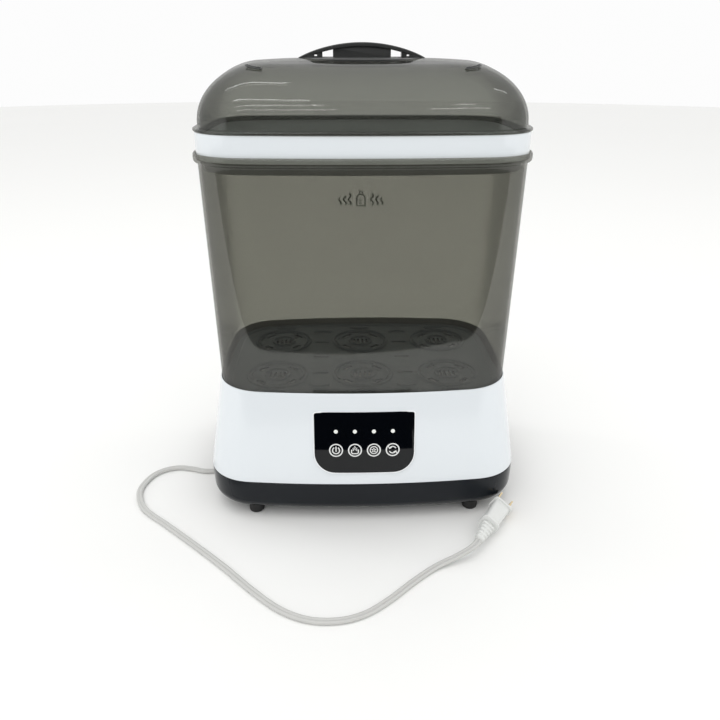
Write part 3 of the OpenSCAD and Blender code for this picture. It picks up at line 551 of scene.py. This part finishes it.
shell = mesh("white_shell", *strips(shell_rings, closed=True), "base", ["base_shell"], "white_shell", 30,
             WHITE)
cut(shell, mesh("filter_hole", *prism(round_rect(71, 37, 5, 8, 52, 72), 80, 125, "y"), None), 30)

pan_rings = []
for a in np.radians(np.arange(0, 91, 7.5)):
    s, c = math.sin(a), math.cos(a)
    pan_rings.append(ring(9.5 + 12 - 12 * c, 149.4 - 12 + 12 * s, 105.9 - 12 + 12 * s, 32 + 12 * s))
for z, d in ((30, 0.22), (38, 0.02), (40.2, 0.05), (40.6, 0.35), (40.7, 0.8), (40.7, 3.8), (44.4, 3.9),
             (44.7, 4.2), (44.7, 5.2), (40, 5.4)):
    pan_rings.append(ring(z, 149.8 - d, 106.3 - d, 44 - d))
for a in np.radians([90, 60, 30, 0]):
    s, c = math.sin(a), math.cos(a)
    r = 9.4
    pan_rings.append(ring(21.5 - r * c, 137.4 + r * s, 93.9 + r * s, 32 + r * s))
pan = mesh("black_pan", *strips(pan_rings, first=True, last=True), "base", ["base_pan"], "black_shell", 30,
           BLACK)
holes = [prism(round_rect(3, 44, 1.4, 5, 78 - 18 + 7 * i + 1.5, 4), 6, 14) for i in range(-4, 5)]
holes += [prism(circle(3.6, 28, sx * 128, sy * 52), 6, 27.5) for sx in (-1, 1) for sy in (-1, 1)]
cut(pan, mesh("pan_holes", *joined(holes), None), 30)

# ---------------------------------------------------------------- control panel


def face_y(x, z, out):
    """How far forward the housing's crowned front is, with out added to it."""
    return -(base_hy(z) + out) + BASE_BOW * (np.asarray(x) / (base_hx(z) - 1 - BASE_CORNER)) ** 2


def panel_edge(grow, n=10):
    """Outline of the bead that frames the panel."""
    hw, low, high, low_r, top_r = PANEL_HX + 0.3, PANEL_LOW_Z, PANEL_TOP_Z - 0.6, PANEL_LOW_R, PANEL_TOP_R
    pts = []
    for cx, cz, r, a0 in ((hw - low_r, low + low_r, low_r, -90), (hw - top_r, high - top_r, top_r, 0),
                          (-hw + top_r, high - top_r, top_r, 90), (-hw + low_r, low + low_r, low_r, 180)):
        pts += [(cx + (r + grow) * math.cos(math.radians(a0 + 90 * i / n)),
                 cz + (r + grow) * math.sin(math.radians(a0 + 90 * i / n))) for i in range(n + 1)]
    return np.array(pts)


def on_face(points2, out):
    """Points (x, z) laid on the panel's face, standing out by out."""
    p = np.asarray(points2, float)
    return np.column_stack([p[:, 0], face_y(p[:, 0], p[:, 1], proud(p[:, 1]) + out), p[:, 1]])


def panel_half(z):
    """Half width of the panel at height z."""
    hw, low, high, low_r, top_r = PANEL_HX, PANEL_LOW_Z, PANEL_TOP_Z, PANEL_LOW_R, PANEL_TOP_R
    if z < low + low_r:
        return hw - low_r + math.sqrt(max(low_r ** 2 - (low + low_r - z) ** 2, 0))
    if z > high - top_r:
        return hw - top_r + math.sqrt(max(top_r ** 2 - (z - high + top_r) ** 2, 0))
    return hw


def proud(z):
    """How far the panel stands out of the housing: a little more at its lower edge."""
    return 0.25 + 1.2 * (PANEL_TOP_Z - z) / (PANEL_TOP_Z - PANEL_LOW_Z)


def panel_slab(inner):
    """The panel: its crowned front, a back at depth inner behind the housing's face, and the edge between."""
    bend, top_bend = PANEL_LOW_Z + PANEL_LOW_R, PANEL_TOP_Z - PANEL_TOP_R
    zs = np.concatenate([PANEL_LOW_Z + PANEL_LOW_R * (1 - np.cos(np.linspace(0, math.pi / 2, 15))),
                         np.linspace(bend, top_bend, 12)[1:],
                         top_bend + PANEL_TOP_R * np.sin(np.linspace(0, math.pi / 2, 6))[1:]])
    cols, points = 24, []
    for front in (True, False):
        for z in zs:
            hw, out = max(panel_half(z), 0.01), proud(z) if front else inner
            points += [(x, float(face_y(x, z, out)), z) for x in np.linspace(-hw, hw, cols + 1)]
    w, h = cols + 1, len(zs)
    faces = []
    for layer in (0, 1):
        base = layer * w * h
        faces += [(base + r * w + c, base + r * w + c + 1, base + (r + 1) * w + c + 1,
                   base + (r + 1) * w + c)
                  for r in range(h - 1) for c in range(cols)]
    edge = ([(0, c) for c in range(cols)] + [(r, cols) for r in range(h - 1)]
            + [(h - 1, c) for c in range(cols, 0, -1)] + [(r, 0) for r in range(h - 1, 0, -1)])
    k = [r * w + c for r, c in edge]
    faces += [(k[i], k[(i + 1) % len(k)], k[(i + 1) % len(k)] + w * h, k[i] + w * h) for i in range(len(k))]
    return points, faces


mesh("touch_panel", *panel_slab(-1.4), "base", ["control_panel"], "panel_black", 35, PANEL)
# The frame's bright colour is partly the trim's own white and partly a painted highlight on its edge.
bead_path = on_face(panel_edge(0.45), -0.15)
mesh("panel_frame", *sweep(bead_path, [(0.55 * math.cos(a), 0.42 * math.sin(a)) for a in
                                              np.linspace(0, 2 * math.pi, 9)[:-1]], ups=(0, -1, 0),
                                              cyclic=True),
            "base", ["panel_trim"], "panel_bead", 60, BEAD_HIGHLIGHT)


def stroke(points2, width, out=0.05, cyclic=False, place=on_face, up=(0, -1, 0), thick=0.05):
    """A thin printed line laid on a face."""
    return sweep(place(points2, out), [(-width / 2, -thick), (width / 2, -thick), (width / 2, thick),
                                       (-width / 2, thick)],
                 ups=up, cyclic=cyclic)


def arc(cx, cz, r, a0, a1, n=24):
    return [(cx + r * math.cos(math.radians(a0 + (a1 - a0) * i / n)),
             cz + r * math.sin(math.radians(a0 + (a1 - a0) * i / n))) for i in range(n + 1)]


KEYS = [i * KEY_PITCH for i in (-1.5, -0.5, 0.5, 1.5)]
marks = [stroke(arc(x, KEY_Z, 5.85, 0, 360, 48)[:-1], 1.15, cyclic=True) for x in KEYS]
power_x, steam_x, fan_x, cycle_x = KEYS
marks += [stroke(arc(power_x, KEY_Z - 0.1, 3.2, 122, 418, 30), 1.05),
          stroke([(power_x, KEY_Z - 1.3), (power_x, KEY_Z + 3.6)], 1.0)]
cup = [(-3.1, 0.7), (-3.1, -2.4), (-2.3, -3.3), (2.3, -3.3), (3.1, -2.4), (3.1, 0.7)]
marks.append(stroke([(steam_x + u, KEY_Z + v) for u, v in cup], 1.05))
for u, low, high in ((-1.6, -0.4, 2.6), (0, 0.2, 3.9), (1.6, -0.4, 2.6)):
    marks.append(stroke([(steam_x + u + 0.3 * math.sin(3 * v), KEY_Z + v) for v in np.linspace(low, high,
                                                                                               9)], 0.7))
marks.append(stroke(arc(fan_x, KEY_Z, 3.4, 0, 360, 36)[:-1], 0.9, cyclic=True))
for k in range(5):
    q = math.radians(90 + 72 * k)
    marks.append(stroke([(fan_x + r * math.cos(q), KEY_Z + r * math.sin(q)) for r in (0.7, 2.2)], 1.0))
for q in (0, 180):                         # two arrows in a circle: the automatic cycle
    marks.append(stroke(arc(cycle_x, KEY_Z, 3.2, q + 25, q + 150, 14), 1.0))
    e = math.radians(q + 160)
    tip = np.array([cycle_x + 3.2 * math.cos(e), KEY_Z + 3.2 * math.sin(e)])
    t = np.array([-math.sin(e), math.cos(e)])
    o = np.array([math.cos(e), math.sin(e)])
    marks.append(stroke([tip - 1.9 * t + 1.6 * o, tip, tip - 1.9 * t - 1.6 * o], 0.9))
mesh("key_marks", *joined(marks), "base", [], "lamp_lens", 60, PRINT)

lamps = []
for x in KEYS:
    rings = []
    for r, out in ((1.85, -2.5), (1.85, 0.05), (1.6, 0.14), (0.9, 0.18), (0.05, 0.2)):
        rings.append(on_face(np.array(circle(r, 28, x, LAMP_Z)), out))
    lamps.append(strips(rings, first=True, last=True))
mesh("lamp_lenses", *joined(lamps), "base", ["led_lenses"], "lamp_lens", 40, LAMP)

# ---------------------------------------------------------------- bottle tray


def ridge(cx, cy, r, z, a0=0.0, a1=360.0, w=1.7, h=1.5, n=72):
    """A raised rounded line on a tray's face."""
    full = a1 - a0 >= 359.9
    count = max(6, int(n * (a1 - a0) / 360))
    path = [(cx + r * math.cos(math.radians(a0 + (a1 - a0) * i / count)),
             cy + r * math.sin(math.radians(a0 + (a1 - a0) * i / count)),
             z) for i in range(count + (0 if full else 1))]
    section = [(w / 2 * math.cos(q), -0.4 + (h + 0.4) * max(math.sin(q),
                                                            0.0) ** 0.6) for q in np.linspace(0, math.pi,
                                                                                              9)]
    return sweep(path, section, cyclic=full)


def tray_ring(z, d):
    """The bottle tray's outline, just inside the chamber's foot, moved in by d."""
    return ring(z, 131.8 - d, 91.4 - d, 40.2 - d, BOW)


tray = mesh("steam_tray", *strips([tray_ring(z, d) for z, d in (
    (122.3, 5.2), (121, 5), (121, 0.7), (121.4, 0.32), (123.6, 0.3), (124.4, 0.5), (124.8, 1.0),
    (124.9, 1.7), (124.9, 6.0), (124.2, 6.8), (124.1, 8.0))], first=True, last=True), "bottle_tray",
    ["bottle_tray"], "charcoal_plastic", 30, CHARCOAL)
PLACES = [(i * PLACE_X, j * PLACE_Y) for i in (-1, 0, 1) for j in (-1, 1)]
slots = []
for px, py in PLACES:
    for q in (45, 135, 225, 315):
        o = arc(0, 0, 23.0, q - 15, q + 15, 6) + arc(0, 0, 18.5, q + 15, q - 15, 6)
        slots.append(prism([(px + u, py + v) for u, v in o], 115, 130))
    for k in (-1.5, -0.5, 0.5, 1.5):
        slots.append(prism(round_rect(2.2, 12, 1.0, 4, px + k * 4.4, py), 115, 130))
for i in (-0.5, 0.5):
    for j in (-1, 0, 1):
        slots.append(prism(round_rect(16, 4, 1.9, 5, i * PLACE_X, j * 38), 115, 130))
cut(tray, mesh("tray_slots", *joined(slots), None), 30)
ridges = []
for px, py in PLACES:
    ridges += [ridge(px, py, 28.6, TRAY_FLOOR_Z, h=2.2, w=2.2),
               ridge(px, py, 11.6, TRAY_FLOOR_Z, w=1.8, h=1.8)]
    ridges += [ridge(px, py, 25.0, TRAY_FLOOR_Z, q - 28, q + 28, w=1.6, h=1.6) for q in (0, 90, 180, 270)]
for i in (-1, 0, 1):
    for s in (-1, 1):
        ridges.append(ridge(i * PLACE_X, s * 100, 24, TRAY_FLOOR_Z, *((65, 115) if s < 0 else (245, 295)),
                            w=1.8, h=1.7))
for i in (-0.5, 0.5):
    for j in (-1, 1):
        ridges.append(ridge(i * PLACE_X, j * 54, 14, TRAY_FLOOR_Z, *((50, 130) if j > 0 else (230, 310)),
                            w=1.8, h=1.7))
mesh("tray_ridges", *joined(ridges), "bottle_tray", [], "charcoal_plastic", 50, CHARCOAL)

# ---------------------------------------------------------------- chamber


def lip(z, d):
    """The chamber's outline at its top, moved out by d."""
    return ring(z, CHAMBER_HX + FLARE_X + d, CHAMBER_HY + FLARE_Y + d, CORNER + d, BOW)


wall_rings = [chamber_ring(z) for z in (CHAMBER_LOW_Z, 150, 180, 210, 240, 270, 300, 322)]
wall_rings += [lip(z, d) for z, d in (
    (325.0, 0.1), (326.0, 0.6), (326.5, 1.7), (326.8, 2.6), (327.6, 3.3), (328.6, 3.55), (331.6, 3.6),
    (332.9, 3.4), (333.6, 2.9), (333.9, 2.2), (333.6, 1.6), (332.8, 1.35), (329.0, 1.2), (328.6, 0.9),
    (328.6, -1.6), (328.2, -2.2))]
wall_rings += [chamber_ring(z, -WALL) for z in (320, 300, 270, 240, 210, 180, 150, CHAMBER_LOW_Z)]
mesh("clear_chamber", *strips(wall_rings, closed=True), "chamber", ["chamber"], "smoke_clear", 40, SMOKE)


def on_rear(points2, out):
    """Points (x, z) laid on the chamber's rear wall, standing out by out."""
    p = np.asarray(points2, float)
    t = (p[:, 1] - CHAMBER_LOW_Z) / (CHAMBER_TOP_Z - CHAMBER_LOW_Z)
    y = CHAMBER_HY + FLARE_Y * t + out - BOW * (p[:, 0] / (CHAMBER_HX + FLARE_X * t - 1 - CORNER)) ** 2
    return np.column_stack([p[:, 0], y, p[:, 1]])


def rear(points2, width, cyclic=False):
    return stroke(points2, width, 0.06, cyclic, on_rear, (0, 1, 0), 0.03)


sign = []
for k in range(3):                         # generic mark: a bottle standing between waves of steam
    for side in (-1, 1):
        sign.append(rear([(2 + side * (12 + 5.2 * k) + 1.3 * math.sin(t * 0.8), 259 + t)
                          for t in np.linspace(0, 12 - 2 * k, 19)], 1.5))
body = [(2 - 4.4, 258), (2 + 4.4, 258), (2 + 4.4, 267), (2 + 2.4, 270), (2 - 2.4, 270), (2 - 4.4, 267)]
sign += [rear(body, 1.3, True), rear([(0.4, 271), (0.4, 273.4), (3.6, 273.4), (3.6, 271)], 1.2),
         rear([(-0.4, 261), (3, 261)], 1.0), rear([(-0.4, 264), (3, 264)], 1.0)]
mesh("rear_mark", *joined(sign), "chamber", [], "dark_plastic", 60, MARK)

# ---------------------------------------------------------------- ring and accessory tray


def upper(z, d):
    """The white ring's outline, moved in by d."""
    return ring(z, RING_HX - d, RING_HY - d, CORNER - d, BOW)


mesh("white_ring", *strips([upper(z, d) for z, d in (
    (328.9, 1.2), (328.95, 0.8), (329.4, 0.4), (332, 0.2), (336, 0.02), (342, 0), (347.5, 0.02),
    (349.2, 0.14), (349.8, 0.4), (350, 0.9), (350, 1.6), (349.7, 2.0), (340, 2.1), (331.3, 2.2),
    (330.9, 2.6), (330.9, 4.8), (330.6, 5.2), (329.3, 5.2), (328.9, 4.8))], closed=True), "upper_ring",
    ["upper_ring"], "white_shell", 30, WHITE)

basket = mesh("parts_basket", *strips([upper(z, d) for z, d in (
    (319.5, 8.2), (319.7, 7.0), (320.4, 6.2), (321.5, 5.95), (331.1, 5.6), (331.2, 5.2), (331.2, 3.2),
    (331.5, 2.9), (332.7, 2.9), (333, 3.2), (333, 7.0), (332.6, 7.6), (323, 7.85), (322, 8.2),
    (321.5, 9.0))], first=True, last=True), "accessory_tray", ["accessory_tray"], "charcoal_plastic", 30,
    GREY)
gaps = [prism(round_rect(3.5, 24, 1.6, 4, i * 16, j * 32), 315, 325) for i in range(-7, 8) for j in (-2, -1,
                                                                                                     0, 1,
                                                                                                     2)]
cut(basket, mesh("basket_slots", *joined(gaps), None), 30)

# ---------------------------------------------------------------- lid


def dome_height(d):
    """Height of the dome at a distance in from its foot: a round shoulder, then a gentle crown."""
    s = min(d / CROWN, 1)
    shoulder = math.sqrt(max(1 - (1 - min(d, SHOULDER) / SHOULDER) ** 2, 0))
    return DOME_FOOT_Z + DOME_RISE * shoulder + CROWN_RISE * s * s * (3 - 2 * s)


def dome_ring(d, off=0.0):
    """The dome's ring at a distance in from its foot, moved out along its slope by off."""
    e = 0.01
    slope = (dome_height(d + e) - dome_height(max(d - e, 0))) / (2 * e if d > e else e)
    n = np.array([slope, 1.0]) / math.hypot(slope, 1)
    r = CORNER - 0.55 * d if d < SHOULDER else 16.3 - 0.28 * (d - SHOULDER)
    bow = max(BOW * (1 - d / 60), 0.15) if d < SHOULDER else max(0.88 - 0.018 * (d - SHOULDER), 0.1)
    hx, hy = LID_HX - d + off * n[0], LID_HY - d + off * n[0]
    return ring(dome_height(d) + off * n[1], hx, hy, min(r + off * n[0], hy - bow - 0.2), bow,
                min(1.0, bow))


INSETS = [SHOULDER * (1 - math.cos(math.radians(a))) for a in range(0, 91, 4)]
INSETS += [52, 56, 61, 66, 71, 76, 80, 84, 87, 89.5]


def spine(z):
    """The dome's last ring, closed up into a line."""
    c = dome_ring(INSETS[-1])
    return np.column_stack([c[:, 0] * 0.97, c[:, 1] * 0, np.full(len(c), z)])


def rim(z, d):
    """The lid's outline at its foot, moved in by d."""
    return ring(z, LID_HX - d, LID_HY - d, CORNER - d, BOW)


skin = [spine(LID_TOP_Z - WALL)] + [dome_ring(d, -WALL) for d in reversed(INSETS)]
skin += [rim(z, d) for z, d in ((350, 2.2), (345.9, 2.2), (345.7, 2.0), (345.7, 0.8), (345.9, 0.6),
                                (350.0, 0.42),
                               (350.3, 0.1), (350.3, -3.3), (350.5, -3.9), (351.0, -4.18), (351.7, -4.2),
                               (352.3, -4.0), (352.7, -3.4), (352.9, -2.4), (353.1, -1.0), (353.5, -0.2))]
skin += [dome_ring(d) for d in INSETS] + [spine(LID_TOP_Z)]
lid = mesh("clear_lid", *strips(skin), "lid", ["lid"], "smoke_clear", 40, SMOKE_LID)
vents, vent_lines = [], []
for sx in (-1, 1):
    for sy in (-1, 1):
        mid = math.degrees(math.atan2(sy * 7, sx * 5))
        o = arc(0, 0, 19.5, mid - 24, mid + 24, 12) + arc(0, 0, 17.1, mid + 24, mid - 24, 12)
        vent_lines.append([(sx * VENT_X + u, sy * VENT_Y + v) for u, v in o])
        vents.append(prism(vent_lines[-1], 380, 410))
cut(lid, mesh("vent_cutter", *joined(vents), None), 40)


def settle(y, z):
    """The crown falls away towards the front and the rear of the lid."""
    high = min(max((z - DOME_FOOT_Z) / (DOME_RISE + CROWN_RISE), 0), 1)
    return z - high * SAG * (1 - math.exp(-(y / SAG_Y) ** 2))


for v in lid.data.vertices:
    y, z = v.co.y / MM, v.co.z / MM
    v.co.z = settle(y, z) * MM

# ---------------------------------------------------------------- handle


def over_dome(x, y):
    """Height of the lid's outer face over a point."""
    return settle(y, dome_height(min(LID_HY - abs(y), LID_HX - abs(x))))


edging = [(0.55 * math.cos(q), 0.55 * math.sin(q)) for q in np.linspace(0, 2 * math.pi, 9)[:-1]]
mesh("vent_edges", *joined([sweep([(x, y, over_dome(x, y) - 0.1) for x, y in line], edging, cyclic=True)
                            for line in vent_lines]), "lid", [], "handle_charcoal", 60, HANDLE)


def eye_plate(rows=60, cols=28):
    """A plate between two arcs that meet at its ends: a crowned top, and a base that follows the dome."""
    arc_r = (PLATE_HX ** 2 + PLATE_HY ** 2) / (2 * PLATE_HY)
    points, faces = [], []
    for top in (1, 0):
        for i in range(rows + 1):
            x = -PLATE_HX * math.cos(math.pi * i / rows)
            half = max(math.sqrt(max(arc_r * arc_r - x * x, 0)) - (arc_r - PLATE_HY), 0.05)
            for k in range(cols + 1):
                v = math.sin(math.pi / 2 * (2 * k / cols - 1))
                y = v * half
                low = over_dome(x, y) - 0.2
                fall = 0.5 * (x / PLATE_HX) ** 2 + 0.9 * (y / PLATE_HY) ** 2 + 0.7 * abs(v) ** 10
                points.append((x, y, max(PLATE_TOP_Z - fall, low + 0.3) if top else low))
    w = cols + 1
    size = (rows + 1) * w
    for base in (0, size):
        faces += [(base + i * w + k, base + i * w + k + 1, base + (i + 1) * w + k + 1,
                   base + (i + 1) * w + k)
                  for i in range(rows) for k in range(cols)]
    edge = ([(0, k) for k in range(cols)] + [(i, cols) for i in range(rows)]
            + [(rows, k) for k in range(cols, 0, -1)] + [(i, 0) for i in range(rows, 0, -1)])
    ids = [i * w + k for i, k in edge]
    faces += [(ids[i], ids[(i + 1) % len(ids)], ids[(i + 1) % len(ids)] + size, ids[i] + size)
              for i in range(len(ids))]
    return points, faces


mesh("handle_plate", *eye_plate(), "lid", ["lid_handle"], "handle_charcoal", 40, HANDLE)


def arch(x, drop):
    """Height of the arched grip at x, lowered by drop."""
    return TOP_Z - drop - ARCH_RISE * (x / PLATE_HX) ** 2


bar_path = [(x, 0, arch(x, 1.6)) for x in np.linspace(-53.6, 53.6, 65)]


def bar_section(t):
    """The grip's section, narrower and thinner towards its ends."""
    w = 15.0 * (0.3 + 0.7 * math.sin(math.pi * t) ** 0.6)
    return round_rect(w, 3.2 - 1.4 * abs(2 * t - 1) ** 6, 0.8, 5)


mesh("handle_grip", *sweep(bar_path, bar_section), "lid", [], "handle_charcoal", 40, HANDLE)
outer = [(x, arch(x, 2.6)) for x in np.linspace(49, -49, 41)]
low = [(x, 403.3) for x in np.linspace(-49, 49, 21)]
web = mesh("handle_web", *prism(outer + low, -4.5, 4.5, "y"), "lid", [], "handle_charcoal", 40, HANDLE)
windows = []
for s in (-1, 1):
    windows.append(prism([(s * 24.5, 404.4), (s * 33.5, 404.4), (s * 33.5, arch(33.5, 3.3)),
                          (s * 24.5, arch(24.5, 3.3))],
                         -20, 20, "y"))
    windows.append(prism([(s * 39.2 - 1.2, 404.9), (s * 39.2 + 1.2, 404.9), (s * 39.2 + 1.2, 406.0),
                          (s * 39.2 - 1.2, 406.0)], -20, 20, "y"))
cut(web, mesh("window_cutter", *joined(windows), None), 40)
bevel(web, 0.4, 2, 40, 40)

# ---------------------------------------------------------------- floor and light

FLOOR = material("floor", (0.90, 0.90, 0.885), 0.6, grain=0.05, grain_scale=300, wear=0.006, specular=0.2,
                 tone_scale=2)
floor_data = bpy.data.meshes.new("floor")
floor_data.from_pydata([(math.cos(q) * 6, math.sin(q) * 6, -0.0001) for q in np.linspace(0, 2 * math.pi,
                                                                                         97)[:-1]], [],
                       [list(range(96))])
floor = bpy.data.objects.new("floor", floor_data)
bpy.context.scene.collection.objects.link(floor)
floor_data.materials.append(FLOOR)

world = bpy.data.worlds.new("studio")
bpy.context.scene.world = world
world.use_nodes = True
world.node_tree.nodes["Background"].inputs["Color"].default_value = (1, 1, 1, 1)
world.node_tree.nodes["Background"].inputs["Strength"].default_value = 0.98


def area(name, at, to, size, power):
    """A rectangular light at one place, facing another. These and what follows are in metres."""
    light = bpy.data.lights.new(name, "AREA")
    light.shape = "RECTANGLE"
    light.size, light.size_y = size
    light.energy = power
    obj = bpy.data.objects.new(name, light)
    bpy.context.scene.collection.objects.link(obj)
    obj.location = at
    obj.rotation_euler = (Vector(to) - Vector(at)).to_track_quat("-Z", "Y").to_euler()
    return obj


over = area("overhead", (0.0, -0.1, 1.9), (0, 0, 0.2), (1.8, 1.4), 5)
over.visible_glossy = False
TUBES = [((-1.6, 0.55), (-0.3, 0.2)), ((-1.45, -1.1), (-0.3, -1.35)), ((-1.7, -2.15), (-0.25, -1.95)),
         ((-1.7, -2.95), (-0.2, -2.8)), ((1.3, 0.2), (2.2, 0.8)), ((0.85, -1.9), (1.0, -1.9)),
         ((0.75, -2.6), (1.7, -2.5))]
for i, (a, b) in enumerate(TUBES):
    a, b = Vector((*a, 2.4)), Vector((*b, 2.4))
    tube = area(f"tube_{i}", (a + b) / 2, (a + b) / 2 - Vector((0, 0, 1)), ((b - a).length, 0.09),
                2.2 * (b - a).length)
    tube.rotation_euler = (0, 0, math.atan2((b - a).y, (b - a).x))

# Dark sheets seen only in the gloss of what faces them, for painted dark reflections: a large one on the
# floor in front of the table, with a wall beyond it, stands for the dark room there; a small one just in
# front of the control panel darkens the panel's gloss.
card_data = bpy.data.meshes.new("room")
card_data.from_pydata([(-2.5, -0.42, 0.001), (-0.4, -0.43, 0.001), (0.4, -0.47, 0.001), (2.5, -0.5, 0.001),
                       (2.5, -2.2, 0.001), (-2.5, -2.2, 0.001), (2.5, -2.2, 1.25), (-2.5, -2.2, 1.25)], [],
                       [(0, 1, 2, 3, 4, 5), (5, 4, 6, 7)])
# A small dark card just in front of the control panel: a painted dark reflection in the panel's gloss, with
# no real thing there.
panel_reflection_card_data = bpy.data.meshes.new("panel_reflection_card")
panel_reflection_card_data.from_pydata([(-0.056, -0.16, 0.060), (0.056, -0.16, 0.060), (0.056, -0.16, 0.097),
                       (-0.056, -0.16, 0.097)],
                      [], [(0, 1, 2, 3)])
card = bpy.data.objects.new("room", card_data)
panel_reflection_card = bpy.data.objects.new("panel_reflection_card", panel_reflection_card_data)
bpy.context.scene.collection.objects.link(panel_reflection_card)
bpy.context.scene.collection.objects.link(card)
# Colour of both dark sheets: painted dark reflection.
DARK_REFLECTION = material("painted_dark_reflection", (0.02, 0.02, 0.022), 0.9, wear=0.1, specular=0.0)
for dark in (card, panel_reflection_card):
    dark.data.materials.append(DARK_REFLECTION)
    dark.visible_camera = dark.visible_diffuse = dark.visible_shadow = dark.visible_transmission = False
